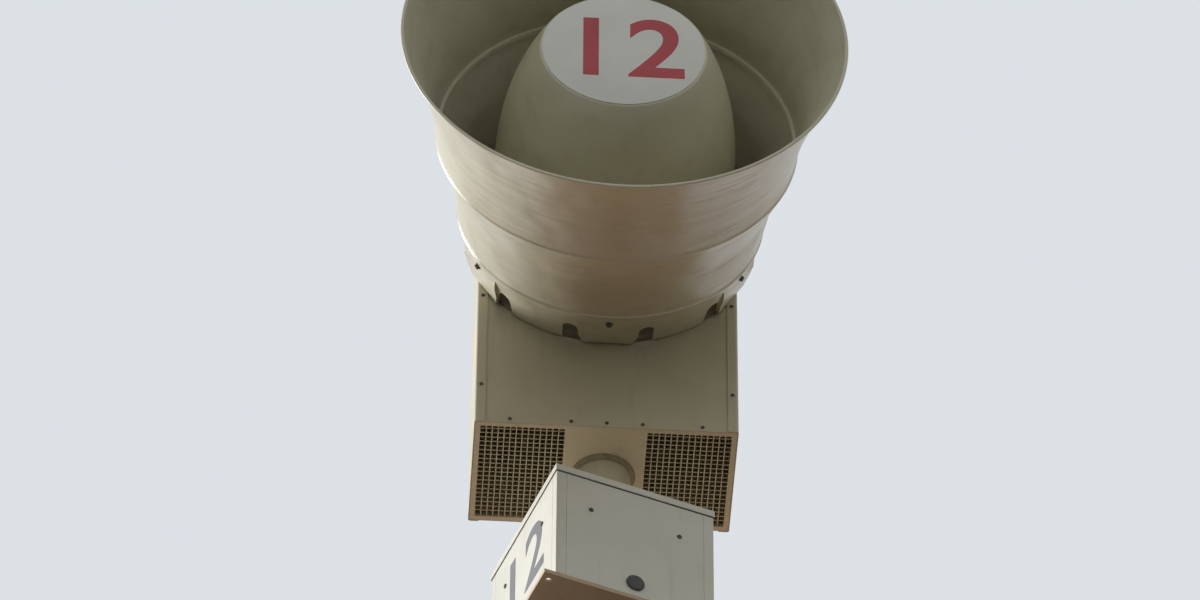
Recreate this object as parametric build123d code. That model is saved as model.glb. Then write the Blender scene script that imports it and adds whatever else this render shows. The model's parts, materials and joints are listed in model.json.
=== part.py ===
from build123d import *
import math
import os

os.makedirs("parts", exist_ok=True)

# A rotating warning siren on a steel pole. Millimetres, +Z up. The origin is at ground level, in
# the middle of the underside of the pole's foot. The horn faces -Y when the head is at rest.

# Pole: two tapered twelve-sided tubes, the upper one slipped over the lower one
pole_height = 12192            # ground to the top of the plate that carries the siren
pole_sides = 12
foot_width = 330               # across the flats at the ground
pole_taper = 0.0117            # width lost for each millimetre of height
pole_wall = 6
slip_start = 5900              # lower edge of the upper tube
slip_overlap = 500
slip_gap = 0.3

foot_side = 520
foot_thickness = 38
foot_corner = 60
anchor_circle = 560
anchor_hole = 42
gusset_height = 190
gusset_reach = 78
gusset_edge = 20               # height of a gusset's outer edge
gusset_tip = 12                # width of a gusset's far end
gusset_thickness = 12

handhole_height = 620          # ground to the middle of the opening
handhole_width = 110
handhole_length = 240
handhole_rim = 8
handhole_stand = 10
handhole_inside = 14           # how far the rim goes into the pole past its wall
handhole_lid = 4
handhole_lid_margin = 5

# Control cabinet on the back of the pole
cabinet_width = 500
cabinet_height = 750
cabinet_depth = 250
cabinet_bottom = 1400
cabinet_sheet = 2.5
cabinet_stand = 42             # pole face to cabinet back, at the lower rail
door_overlap = 12
door_depth = 18
rail_height = 42
rail_inset = 110               # cabinet end to the middle of a rail
rail_thickness = 5
rail_length = 400
rail_web = 80

# Conduit from the cabinet to the plate under the rotator
conduit_diameter = 42
conduit_wall = 3
conduit_stand = 16             # pole face to conduit
conduit_rise = 200
conduit_shift = 260            # height of the stretch that leads back to the pole
conduit_bend = 180
conduit_back_gap = 45          # cabinet back to the conduit's middle
fitting_radius = 28
fitting_length = 60
hub_radius = 33
hub_height = 16
strap_count = 6
strap_low_gap = 490            # end of the conduit's bends to the first strap
strap_high_gap = 480           # last strap to the pole's top
strap_height = 26
strap_width = 74
strap_foot = 6
strap_wall = 5
fit_gap = 0.3

# Plate on the pole's top, and the brackets under it
top_plate_thickness = 10
plate_lip = 24                 # how far the plate stands out on the rotator's left and right
lip_hole = 13
lip_hole_edge = 16.5           # from the lip's edge to the middle of a hole
lip_hole_back = 20             # from the front edge to the middle of a hole
top_gusset_height = 120
top_gusset_reach = 60
top_gusset_edge = 15
top_gusset_tip = 8

# Rotator box: a square sheet-metal box, turned a little from the pole's square
rotator_turn = 19.6
rotator_side = 345
rotator_height = 308           # underside of the base plate to the top of the lid
rotator_sheet = 2
base_plate_thickness = 3
post_leg = 22
lid_depth = 17
plug_diameter = 39
plug_rise = 34                 # box bottom to the plug's middle
plug_stand = 5
plug_stem = 28
plug_tail = 6                  # length of the stem behind the panel

# Bearing on the lid and the neck that turns in it
neck_radius = 57.5
neck_wall = 8
neck_gap = 195                 # top of the lid to the underside of the head
neck_flange_radius = 67
neck_flange_thickness = 2.5
neck_collar_wall = 1.5
flare_steps = 4
bearing_radius = 78
bearing_height = 42
bearing_flange_radius = 100
bearing_flange_thickness = 10
bearing_chamfer = 5
bearing_gap = 0.3
running_gap = 5
neck_tail = 60                 # how far the neck goes down below the lid's top

# Head housing, measured from the horn's axis
housing_width = 543
housing_depth = 290
housing_below = 546
housing_above = 332
housing_sheet = 2.5
housing_flange = 22
cap_depth = 24
pan_lip = 20

# Intake screens in the underside
screen_pitch = 12.4
screen_columns = 14
screen_rows = 21
screen_wire = 2.8
screen_border = 7
screen_side_gap = 13.1         # housing side to the opening
layer_gap = 0.2

# Horn and dome, both round about the horn's axis
horn_mouth = 914
horn_length = 585              # mouth to the housing's front
horn_wall = 4
lip_radius = 3
lip_seat = 0.4                 # from the bell's outer edge to the middle of the bead
bell_depth = 278               # mouth to the joint between bell and throat
joint_radius = 377
bell_flare = [(0.25, 0.63), (0.525, 0.29), (0.755, 0.1)]  # shares of the bell's depth and of its widening
joint_lip = 3
joint_lip_width = 7
joint_slope = 2.6              # how far the wall closes in over the lip's width
waist_depth = 382
waist_radius = 338
groove_depth = 489
groove_radius = 322
groove_size = 2.5
groove_shoulder = 0.4
throat_radius_rear = 297.5
throat_overrun = 40            # length of the throat's cavity past its rear end
lug_count = 6
lug_start = 508
lug_ramp = 22                  # length over which a lug's ends rise out of the wall
lug_half_angle = 11
lug_stand = 0.6                # how far the middle of a lug's flat face stands out
lug_thickness = 24
notch_angle = 15.1
notch_radius = 16
notch_reach = 52
notch_lean = 12                # how far a notch's inner side leans towards the bolt

rim_start = 500                # front edge of the pads that the horn's lugs are bolted to
rim_wall = 6
back_thickness = 9
stator_front = 492
stator_radius = 244
stator_wall = 16
stator_flare = 12
port_count = 12
port_width = 62
port_length = 58
port_front = 508
inlet_radius = 190

dome_radius = 250
dome_face_radius = 168
dome_face_depth = 39
dome_widest = 350
dome_length = 427              # long half-axis of the dome's elliptical side
dome_steps = 6
dome_wall = 5
dome_nose = 60                 # thickness of the nose behind the flat face
face_plate_thickness = 2
spigot_height = 16
spigot_wall = 6

# Sizes that follow
housing_half = housing_width / 2
housing_front = housing_depth / 2
rotator_half = rotator_side / 2
lid_top = pole_height + rotator_height
head_bottom = lid_top + neck_gap
axis_height = head_bottom + housing_below
mouth_y = -housing_front - horn_length
cabinet_top = cabinet_bottom + cabinet_height


def ngon(width, z):
    """A level face with pole_sides flats, width across the flats."""
    outline = RegularPolygon(width / 2, pole_sides, major_radius=False, rotation=180 / pole_sides)
    return Pos(0, 0, z) * outline


def tapered(width, z0, z1):
    """A solid twelve-sided shaft that is width across the flats at z0."""
    return loft([ngon(width, z0), ngon(width - pole_taper * (z1 - z0), z1)])


def lower_width(z):
    """Width across the flats of the lower tube at the height z."""
    return foot_width - pole_taper * z


def upper_width(z):
    """Width across the flats of the upper tube at the height z."""
    return lower_width(z) + 2 * (pole_wall + slip_gap)


def turned(outline):
    """A solid of revolution about Y from a closed list of (radius, y) points."""
    return revolve(make_face(Polyline(*outline, close=True)), axis=Axis.Y)


def radial_plate(points, thickness, angle):
    """An upright plate through the Z axis, from (radius, z) points, turned by angle."""
    plate = extrude(Plane.XZ * make_face(Polyline(*points, close=True)), thickness / 2, both=True)
    return Rot(0, 0, angle) * plate


# Pole

def make_base_flange():
    plate = extrude(chamfer(Rectangle(foot_side, foot_side).vertices(), foot_corner), foot_thickness)
    holes = PolarLocations(anchor_circle / 2, 4, start_angle=45) * Cylinder(
        anchor_hole / 2, foot_thickness, align=(Align.CENTER, Align.CENTER, Align.MIN))
    return plate - holes


def make_base_gussets():
    low = lower_width(foot_thickness) / 2
    top = foot_thickness + gusset_height
    outline = [
        (low, foot_thickness),
        (low + gusset_reach, foot_thickness),
        (low + gusset_reach, foot_thickness + gusset_edge),
        (lower_width(top) / 2 + gusset_tip, top),
        (lower_width(top) / 2, top),
    ]
    return [radial_plate(outline, gusset_thickness, angle) for angle in range(30, 360, 30) if angle % 90]


def make_pole_lower():
    top = slip_start + slip_overlap
    shaft = tapered(lower_width(foot_thickness), foot_thickness, top)
    shaft -= tapered(lower_width(foot_thickness) - 2 * pole_wall, foot_thickness, top)
    return shaft - handhole_slot(0)


def make_pole_upper():
    top = pole_height - top_plate_thickness
    shaft = tapered(upper_width(slip_start), slip_start, top)
    return shaft - tapered(upper_width(slip_start) - 2 * pole_wall, slip_start, top)


def handhole_slot(shrink):
    """The handhole's opening, made smaller by shrink all round, as a bar along -X."""
    slot = SlotOverall(handhole_length - 2 * shrink, handhole_width - 2 * shrink, rotation=90)
    bar = extrude(Plane.YZ * slot, -lower_width(handhole_height) / 2 - handhole_stand)
    return Pos(0, 0, handhole_height) * bar


def make_handhole_frame():
    depth = handhole_stand + pole_wall + handhole_inside
    keep = Pos(-lower_width(handhole_height) / 2 - handhole_stand, 0, handhole_height) * Box(
        depth, handhole_width, handhole_length, align=(Align.MIN, Align.CENTER, Align.CENTER))
    return (handhole_slot(0) - handhole_slot(handhole_rim)) & keep


def make_handhole_cover():
    slot = SlotOverall(
        handhole_length + 2 * handhole_lid_margin, handhole_width + 2 * handhole_lid_margin, rotation=90)
    cover = extrude(Plane.YZ * slot, -handhole_lid)
    return Pos(-lower_width(handhole_height) / 2 - handhole_stand, 0, handhole_height) * cover


def rotator_place(shape, z=0):
    """Puts a shape that is modelled about the rotator's own middle where the rotator stands."""
    return Pos(0, 0, pole_height + z) * Rot(0, 0, rotator_turn) * shape


def make_pole_top_plate():
    """The plate that the rotator stands on, with two holes through each lip."""
    width = rotator_side + 2 * plate_lip
    plate = Box(width, rotator_side, top_plate_thickness)
    plate -= GridLocations(width - 2 * lip_hole_edge, rotator_side - 2 * lip_hole_back, 2, 2) * Cylinder(
        lip_hole / 2, top_plate_thickness)
    return rotator_place(plate, -top_plate_thickness / 2)


def make_top_gussets():
    top = pole_height - top_plate_thickness
    low = top - top_gusset_height
    outline = [
        (upper_width(top) / 2, top),
        (upper_width(top) / 2 + top_gusset_reach, top),
        (upper_width(top) / 2 + top_gusset_reach, top - top_gusset_edge),
        (upper_width(low) / 2 + top_gusset_tip, low),
        (upper_width(low) / 2, low),
    ]
    return [radial_plate(outline, gusset_thickness / 2, angle) for angle in (30, 150, 210, 330)]


# Cabinet and conduit

rail_heights = [cabinet_bottom + rail_inset, cabinet_top - rail_inset]
cabinet_back = lower_width(rail_heights[0]) / 2 + cabinet_stand
conduit_low_y = cabinet_back + conduit_back_gap
conduit_high_y = upper_width(pole_height) / 2 + conduit_stand + conduit_diameter / 2
conduit_join = cabinet_top + conduit_rise + conduit_shift
conduit_join_y = lower_width(conduit_join) / 2 + conduit_stand + conduit_diameter / 2
conduit_end = pole_height - top_plate_thickness
strap_first = conduit_join + strap_low_gap
strap_last = pole_height - strap_high_gap


def make_cabinet_box():
    body = Box(cabinet_width, cabinet_depth, cabinet_height, align=(Align.CENTER, Align.MIN, Align.MIN))
    hollow = Pos(0, cabinet_sheet, cabinet_sheet) * Box(
        cabinet_width - 2 * cabinet_sheet, cabinet_depth, cabinet_height - 2 * cabinet_sheet,
        align=(Align.CENTER, Align.MIN, Align.MIN))
    return Pos(0, cabinet_back, cabinet_bottom) * (body - hollow)


def make_cabinet_door():
    width = cabinet_width + 2 * door_overlap
    height = cabinet_height + 2 * door_overlap
    door = Box(width, door_depth + cabinet_sheet, height, align=(Align.CENTER, Align.MIN, Align.CENTER))
    door -= Box(width - 2 * cabinet_sheet, door_depth, height - 2 * cabinet_sheet,
                align=(Align.CENTER, Align.MIN, Align.CENTER))
    rim = Box(cabinet_width + 2 * fit_gap, door_depth, cabinet_height + 2 * fit_gap,
              align=(Align.CENTER, Align.MIN, Align.CENTER))
    collar = Box(width - 2 * cabinet_sheet, cabinet_sheet, height - 2 * cabinet_sheet,
                 align=(Align.CENTER, Align.MIN, Align.CENTER)) - rim
    front = cabinet_back + cabinet_depth - door_depth
    return Pos(0, front, cabinet_bottom + cabinet_height / 2) * (door + collar)


def make_cabinet_rails():
    """Each rail is a flat bar behind the cabinet, on a band round the pole."""
    rails = []
    for z in rail_heights:
        z0 = z - rail_height / 2
        shaft = tapered(lower_width(z0), z0, z0 + rail_height)
        band = Pos(0, 0, z0) * extrude(ngon(lower_width(z0) + 2 * rail_thickness, 0), rail_height)
        bar = Pos(0, cabinet_back, z) * Box(
            rail_length, 2 * rail_thickness, rail_height, align=(Align.CENTER, Align.MAX, Align.CENTER))
        web = Pos(0, 0, z) * Box(
            rail_web, cabinet_back - rail_thickness, rail_height,
            align=(Align.CENTER, Align.MIN, Align.CENTER))
        rails.append(band + bar + web - shaft)
    return rails


def conduit_path():
    points = [
        (0, conduit_low_y, cabinet_top),
        (0, conduit_low_y, cabinet_top + conduit_rise),
        (0, conduit_join_y, conduit_join),
        (0, conduit_high_y, conduit_end),
    ]
    return FilletPolyline(*points, radius=conduit_bend)


def conduit_bar(radius):
    """The conduit's route as a round bar."""
    start = Plane((0, conduit_low_y, cabinet_top), z_dir=(0, 0, 1))
    return sweep(start * Circle(radius), path=conduit_path())


def make_conduit():
    bar = conduit_bar(conduit_diameter / 2) - conduit_bar(conduit_diameter / 2 - conduit_wall)
    keep = Pos(0, 0, cabinet_top) * Box(
        2 * conduit_diameter, 2 * (conduit_low_y + conduit_diameter), conduit_end - cabinet_top,
        align=(Align.CENTER, Align.CENTER, Align.MIN))
    return bar & keep


def conduit_y(z):
    """Where the middle of the conduit's long run lies at the height z."""
    share = (z - conduit_join) / (conduit_end - conduit_join)
    return conduit_join_y + share * (conduit_high_y - conduit_join_y)


def make_conduit_straps():
    """A saddle on the pole with a ring round the conduit."""
    bar = conduit_bar(conduit_diameter / 2 + fit_gap)
    straps = []
    for i in range(strap_count):
        z = strap_first + i * (strap_last - strap_first) / (strap_count - 1)
        low = z - strap_height / 2
        upper = z > slip_start
        width = upper_width(low) if upper else lower_width(low)
        shaft = tapered(width, low, low + strap_height)
        y = conduit_y(z)
        seat = width / 2 - strap_foot / 2
        foot = Pos(0, seat, z) * Box(
            strap_width, 1.5 * strap_foot, strap_height, align=(Align.CENTER, Align.MIN, Align.CENTER))
        stem = Pos(0, seat, z) * Box(
            conduit_diameter, y - seat, strap_height, align=(Align.CENTER, Align.MIN, Align.CENTER))
        ring = Pos(0, y, z) * Cylinder(conduit_diameter / 2 + strap_wall, strap_height)
        straps.append(foot + stem + ring - shaft - bar)
    return straps


def make_conduit_fittings():
    """A coupling halfway up, and a threaded hub at each end of the conduit."""
    bar = conduit_bar(conduit_diameter / 2 + fit_gap)
    middle = (strap_first + strap_last) / 2
    coupling = Pos(0, conduit_y(middle), middle) * Cylinder(fitting_radius, fitting_length)
    low_hub = Pos(0, conduit_low_y, cabinet_top + hub_height / 2) * extrude(
        RegularPolygon(hub_radius, 8), hub_height / 2, both=True)
    high_hub = Pos(0, conduit_high_y, conduit_end - hub_height / 2) * extrude(
        RegularPolygon(hub_radius, 8), hub_height / 2, both=True)
    return [part - bar for part in (coupling, low_hub, high_hub)]


# Rotator

def make_rotator_base_plate():
    plate = Box(rotator_side, rotator_side, base_plate_thickness)
    return rotator_place(plate, base_plate_thickness / 2)


post_height = rotator_height - base_plate_thickness - rotator_sheet
post_middle = base_plate_thickness + post_height / 2
panel_width = rotator_side - 2 * post_leg


def make_rotator_posts():
    """Four corner angles between the base plate and the lid."""
    angle = Box(post_leg, post_leg, post_height, align=(Align.MIN, Align.MIN, Align.CENTER))
    angle -= Pos(rotator_sheet, rotator_sheet, 0) * Box(
        post_leg, post_leg, post_height, align=(Align.MIN, Align.MIN, Align.CENTER))
    corner = Pos(-rotator_half, -rotator_half, post_middle) * angle
    return [rotator_place(Rot(0, 0, 90 * i) * corner) for i in range(4)]


def rotator_panel(side):
    """A panel between two posts: side 0 is the front, then round by quarter turns."""
    panel = Pos(0, -rotator_half + rotator_sheet / 2, post_middle) * Box(
        panel_width - 2 * fit_gap, rotator_sheet, post_height)
    return Rot(0, 0, 90 * side) * panel


def make_rotator_front_panel():
    hole = Pos(0, -rotator_half, plug_rise) * Rot(90, 0, 0) * Cylinder(
        plug_stem / 2 + fit_gap, 4 * rotator_sheet)
    return rotator_place(rotator_panel(0) - hole)


def make_rotator_lid():
    inner = rotator_side + 2 * fit_gap
    outer = inner + 2 * rotator_sheet
    lid = Box(outer, outer, lid_depth, align=(Align.CENTER, Align.CENTER, Align.MAX))
    lid -= Pos(0, 0, -rotator_sheet) * Box(
        inner, inner, lid_depth, align=(Align.CENTER, Align.CENTER, Align.MAX))
    lid -= Cylinder(neck_radius + running_gap, 4 * rotator_sheet)
    return rotator_place(lid, rotator_height)


def make_access_plug():
    plug = Cylinder(plug_diameter / 2, plug_stand, align=(Align.CENTER, Align.CENTER, Align.MIN))
    plug = chamfer(plug.edges().group_by(Axis.Z)[-1], plug_stand / 3)
    plug += Cylinder(plug_stem / 2, rotator_sheet + plug_tail, align=(Align.CENTER, Align.CENTER, Align.MAX))
    return rotator_place(Pos(0, -rotator_half, plug_rise) * Rot(90, 0, 0) * plug)


def make_rotator_bearing():
    outline = [
        (neck_radius + bearing_gap, 0),
        (bearing_flange_radius, 0),
        (bearing_flange_radius, bearing_flange_thickness),
        (bearing_radius + bearing_chamfer, bearing_flange_thickness),
        (bearing_radius, bearing_flange_thickness + bearing_chamfer),
        (bearing_radius, bearing_height - bearing_chamfer),
        (bearing_radius - bearing_chamfer, bearing_height),
        (neck_radius + bearing_gap, bearing_height),
    ]
    return Pos(0, 0, lid_top) * Rot(90, 0, 0) * turned(outline)


# Neck

def make_neck_pipe():
    height = neck_gap + neck_tail
    pipe = Cylinder(neck_radius, height) - Cylinder(neck_radius - neck_wall, height)
    return Pos(0, 0, head_bottom - height / 2) * pipe


def make_neck_flange():
    """A low collar that rounds the neck into the underside of the head."""
    inner = neck_radius + fit_gap
    tube = inner + neck_collar_wall
    reach = neck_flange_radius - tube
    outline = [(inner, 0), (neck_flange_radius, 0)]
    for i in range(flare_steps + 1):
        turn = math.pi / 2 * i / flare_steps
        outline.append((neck_flange_radius - reach * math.sin(turn),
                        neck_flange_thickness + reach * (1 - math.cos(turn))))
    outline.append((inner, neck_flange_thickness + reach))
    return Pos(0, 0, head_bottom) * Rot(-90, 0, 0) * turned(outline)


# Housing, modelled about the point where the horn's axis crosses the neck's axis

def head_place(shape):
    return Pos(0, 0, axis_height) * shape


housing_tall = housing_below + housing_above - housing_sheet
housing_middle = (housing_above - housing_sheet - housing_below) / 2
screen_width = screen_pitch * screen_columns
screen_length = screen_pitch * screen_rows
screen_x = housing_half - screen_side_gap - screen_width / 2


def housing_side(sign):
    """A side sheet with a flange turned in at the front and the back."""
    sheet = Pos(sign * (housing_half - housing_sheet / 2), 0, housing_middle) * Box(
        housing_sheet, housing_depth, housing_tall)
    for y in (-1, 1):
        sheet += Pos(sign * (housing_half - housing_flange / 2), y * (housing_front - housing_sheet / 2),
                     housing_middle) * Box(housing_flange, housing_sheet, housing_tall)
    return head_place(sheet)


def housing_panel(sign):
    """The front or back sheet, behind the side sheets' flanges."""
    return Pos(0, sign * (housing_front - 1.5 * housing_sheet), housing_middle) * Box(
        housing_width - 2 * housing_sheet - 2 * fit_gap, housing_sheet, housing_tall)


def make_housing_front_panel():
    hole = Pos(0, -housing_front, 0) * Rot(90, 0, 0) * Cylinder(
        inlet_radius, 8 * housing_sheet)
    return head_place(housing_panel(-1) - hole)


def make_housing_top():
    width = housing_width + 2 * fit_gap
    depth = housing_depth + 2 * fit_gap
    cap = Box(width + 2 * housing_sheet, depth + 2 * housing_sheet, cap_depth,
              align=(Align.CENTER, Align.CENTER, Align.MAX))
    cap -= Pos(0, 0, -housing_sheet) * Box(
        width, depth, cap_depth, align=(Align.CENTER, Align.CENTER, Align.MAX))
    return head_place(Pos(0, 0, housing_above) * cap)


def make_housing_bottom():
    """The pan under the head, with two screened openings and a hole for wires into the neck."""
    width = housing_width - 2 * housing_sheet - 2 * fit_gap
    depth = housing_depth - 4 * housing_sheet
    pan = Box(width, depth, pan_lip, align=(Align.CENTER, Align.CENTER, Align.MIN))
    pan -= Pos(0, 0, housing_sheet) * Box(
        width, depth - 2 * housing_sheet, pan_lip, align=(Align.CENTER, Align.CENTER, Align.MIN))
    for sign in (-1, 1):
        pan -= Pos(sign * screen_x, 0, 0) * Box(screen_width, screen_length, 4 * housing_sheet)
    pan -= Cylinder(neck_radius - neck_wall, 4 * housing_sheet)
    return head_place(Pos(0, 0, -housing_below) * pan)


def intake_screen(sign):
    """Crossed wires in a flat edge frame that lies on the pan round its opening."""
    thick = 2 * screen_wire + layer_gap
    frame = Box(screen_width + 2 * screen_border, screen_length + 2 * screen_border, thick)
    frame -= Box(screen_width, screen_length, thick)
    layer = (screen_wire + layer_gap) / 2
    xs = [(i - screen_columns / 2) * screen_pitch for i in range(1, screen_columns)]
    ys = [(i - screen_rows / 2) * screen_pitch for i in range(1, screen_rows)]
    lengthwise = [Pos(x, 0, -layer) * Box(screen_wire, screen_length, screen_wire) for x in xs]
    crosswise = [Pos(0, y, layer) * Box(screen_width, screen_wire, screen_wire) for y in ys]
    mesh = frame.fuse(*lengthwise, *crosswise)
    return head_place(Pos(sign * screen_x, 0, -housing_below + housing_sheet + thick / 2) * mesh)


# Horn: (depth behind the mouth, outer radius) at the places where the wall changes its slope

mouth_radius = horn_mouth / 2
bell_curve = [(0, mouth_radius)]
bell_curve += [(bell_depth * d, joint_radius + (mouth_radius - joint_radius) * r) for d, r in bell_flare]
bell_curve.append((bell_depth, joint_radius))
throat_curve = [
    (bell_depth, joint_radius),
    (waist_depth, waist_radius),
    (groove_depth, groove_radius),
    (horn_length, throat_radius_rear),
]


def along(depth):
    return mouth_y + depth


def shell(curve):
    """A turned wall of horn_wall whose outside follows the curve."""
    outside = [(r, along(d)) for d, r in curve]
    inside = [(r - horn_wall, along(d)) for d, r in reversed(curve)]
    return turned(outside + inside)


def throat_radius(depth):
    """Outer radius of the throat's straight rear stretch."""
    d0, r0 = throat_curve[-2]
    d1, r1 = throat_curve[-1]
    return r0 + (r1 - r0) * (depth - d0) / (d1 - d0)


def make_horn_bell():
    return head_place(shell(bell_curve))


def make_horn_lip():
    """The rolled bead round the mouth, seated on the bell's edge."""
    bead = Pos(mouth_radius + lip_seat, along(lip_radius)) * RegularPolygon(lip_radius, 8, rotation=22.5)
    return head_place(revolve(bead, axis=Axis.Y) - shell(bell_curve))


def throat_cavity():
    """The space inside the throat, longer than the throat at its rear end."""
    end = horn_length + throat_overrun
    curve = throat_curve + [(end, throat_radius(end))]
    wall = [(r - horn_wall, along(d)) for d, r in curve]
    return turned([(0, wall[0][1])] + wall + [(0, wall[-1][1])])


def notch_cutter(side):
    """A prism with a half-round front end, whose side towards the bolt leans out to the rear."""
    front = along(horn_length - notch_reach + notch_radius)
    outline = Polyline(
        (-side * notch_radius, front),
        (side * notch_radius, front),
        (side * (notch_radius + notch_lean), -housing_front),
        (-side * notch_radius, -housing_front),
        close=True)
    face = make_face(outline) + Pos(0, front) * Circle(notch_radius)
    return Pos(0, 0, -throat_radius_rear) * extrude(face, 1.5 * lug_thickness, both=True)


def make_lug():
    """A block with a flat face as long as the wall is straight, and a ramp at its front end."""
    end_width = throat_radius(lug_start) * math.sin(math.radians(lug_half_angle))
    ramp_foot = throat_radius(lug_start) * math.cos(math.radians(lug_half_angle))
    ramp_top = lug_start + lug_ramp
    outline = [
        (along(lug_start), -ramp_foot),
        (along(ramp_top), -throat_radius(ramp_top) - lug_stand),
        (along(horn_length), -throat_radius(horn_length) - lug_stand),
        (along(horn_length), -throat_radius(horn_length) + lug_thickness),
        (along(lug_start), -ramp_foot + lug_thickness),
    ]
    return extrude(Plane.YZ * make_face(Polyline(*outline, close=True)), end_width, both=True)


def make_horn_throat():
    """The rear half of the horn, with a bolted lug every sixth of a turn between two notches."""
    joint_inner = joint_radius - horn_wall
    outside = [(r, along(d)) for d, r in throat_curve]
    groove = [
        (groove_radius + groove_shoulder, along(groove_depth - groove_size)),
        (groove_radius - groove_size, along(groove_depth)),
        (groove_radius - groove_shoulder, along(groove_depth + groove_size)),
    ]
    inside = [(r - horn_wall, y) for r, y in reversed(outside)]
    inside[-1] = (joint_inner - joint_slope, along(bell_depth + joint_lip_width))
    bead = [
        (joint_inner - joint_lip, along(bell_depth + joint_lip_width)),
        (joint_inner - joint_lip, along(bell_depth)),
    ]
    body = turned(outside[:2] + groove + outside[3:] + inside + bead)
    lug = make_lug()
    lugs = []
    notches = []
    for i in range(lug_count):
        turn = 360 / lug_count * i
        lugs.append(Rot(0, turn, 0) * lug)
        notches += [Rot(0, turn + side * notch_angle, 0) * notch_cutter(side) for side in (-1, 1)]
    lugs = Compound(children=lugs) - throat_cavity()
    return head_place(body.fuse(*lugs.solids()) - notches)


# Stator and dome

def make_stator():
    """The ported ring behind the dome, with the back plate and the pads that the horn is bolted to."""
    edge = throat_radius(horn_length) - horn_wall - fit_gap
    front_edge = throat_radius(rim_start) - horn_wall - fit_gap
    spigot = dome_radius - dome_wall - fit_gap
    outline = [
        (inlet_radius, along(horn_length)),
        (edge, along(horn_length)),
        (edge, along(horn_length - back_thickness)),
        (stator_radius + stator_flare, along(horn_length - back_thickness)),
        (stator_radius, along(horn_length - back_thickness - stator_flare)),
        (stator_radius, along(stator_front)),
        (spigot, along(stator_front)),
        (spigot, along(stator_front - spigot_height)),
        (spigot - spigot_wall, along(stator_front - spigot_height)),
        (stator_radius - stator_wall, along(stator_front)),
        (stator_radius - stator_wall, along(horn_length - back_thickness)),
        (inlet_radius, along(horn_length - back_thickness)),
    ]
    ring = turned(outline)
    rim = turned([
        (edge, along(horn_length)),
        (front_edge, along(rim_start)),
        (front_edge - rim_wall, along(rim_start)),
        (edge - rim_wall, along(horn_length)),
    ])
    pad_width = 2 * edge * math.tan(math.radians(lug_half_angle))
    pad = Pos(0, -housing_front, -edge) * Box(
        pad_width, horn_length - rim_start, 2 * lug_thickness, align=(Align.CENTER, Align.MAX, Align.CENTER))
    pads = [rim & (Rot(0, 360 / lug_count * i, 0) * pad) for i in range(lug_count)]
    seat = turned([
        (inlet_radius, along(horn_length)),
        (housing_half - housing_flange - running_gap, along(horn_length)),
        (housing_half - housing_flange - running_gap, along(horn_length) + housing_sheet),
        (inlet_radius, along(horn_length) + housing_sheet),
    ])
    port = Pos(0, along(port_front + port_length / 2), -stator_radius) * Box(
        port_width, port_length, 4 * stator_wall)
    ports = [Rot(0, 360 / port_count * i, 0) * port for i in range(port_count)]
    return head_place(ring + seat + pads - ports)


def make_dome():
    """The hollow bullet behind the face plate, open at its rear end."""
    outline = [(dome_radius, along(stator_front)), (dome_radius, along(dome_widest))]
    for i in range(1, dome_steps + 1):
        depth = dome_widest - (dome_widest - dome_face_depth) * i / dome_steps
        share = (dome_widest - depth) / dome_length
        outline.append((dome_radius * math.sqrt(1 - share * share), along(depth)))
    nose = dome_face_depth + dome_nose
    share = (dome_widest - nose) / dome_length
    inner = dome_radius * math.sqrt(1 - share * share) - 2 * dome_wall
    outline += [
        (0, along(dome_face_depth)),
        (0, along(nose)),
        (inner, along(nose)),
        (dome_radius - dome_wall, along(dome_widest)),
        (dome_radius - dome_wall, along(stator_front)),
    ]
    return head_place(turned(outline))


def make_dome_face():
    plate = Pos(0, along(dome_face_depth), 0) * Rot(90, 0, 0) * Cylinder(
        dome_face_radius, face_plate_thickness, align=(Align.CENTER, Align.CENTER, Align.MIN))
    return head_place(plate)


nodes = {
    "base_flange": make_base_flange(),
    "base_gussets": make_base_gussets(),
    "pole_lower": make_pole_lower(),
    "pole_upper": make_pole_upper(),
    "handhole_frame": make_handhole_frame(),
    "handhole_cover": make_handhole_cover(),
    "pole_top_plate": make_pole_top_plate(),
    "pole_top_gussets": make_top_gussets(),
    "cabinet_box": make_cabinet_box(),
    "cabinet_door": make_cabinet_door(),
    "cabinet_rails": make_cabinet_rails(),
    "conduit": make_conduit(),
    "conduit_straps": make_conduit_straps(),
    "conduit_fittings": make_conduit_fittings(),
    "rotator_base_plate": make_rotator_base_plate(),
    "rotator_posts": make_rotator_posts(),
    "rotator_front_panel": make_rotator_front_panel(),
    "rotator_right_panel": rotator_place(rotator_panel(1)),
    "rotator_back_panel": rotator_place(rotator_panel(2)),
    "rotator_left_panel": rotator_place(rotator_panel(3)),
    "rotator_lid": make_rotator_lid(),
    "rotator_bearing": make_rotator_bearing(),
    "access_plug": make_access_plug(),
    "neck_pipe": make_neck_pipe(),
    "neck_flange": make_neck_flange(),
    "housing_bottom": make_housing_bottom(),
    "left_intake_screen": intake_screen(-1),
    "right_intake_screen": intake_screen(1),
    "housing_front_panel": make_housing_front_panel(),
    "housing_back_panel": head_place(housing_panel(1)),
    "housing_left_side": housing_side(-1),
    "housing_right_side": housing_side(1),
    "housing_top": make_housing_top(),
    "stator": make_stator(),
    "horn_throat": make_horn_throat(),
    "horn_bell": make_horn_bell(),
    "horn_lip": make_horn_lip(),
    "dome": make_dome(),
    "dome_face": make_dome_face(),
}

for name, shape in nodes.items():
    solids = shape if isinstance(shape, list) else [shape]
    export_step(Compound(children=[s for part in solids for s in part.solids()]), f"parts/{name}.step")
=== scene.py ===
import json
import math

import bmesh
import bpy
import numpy as np
from mathutils import Matrix, Vector

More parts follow.
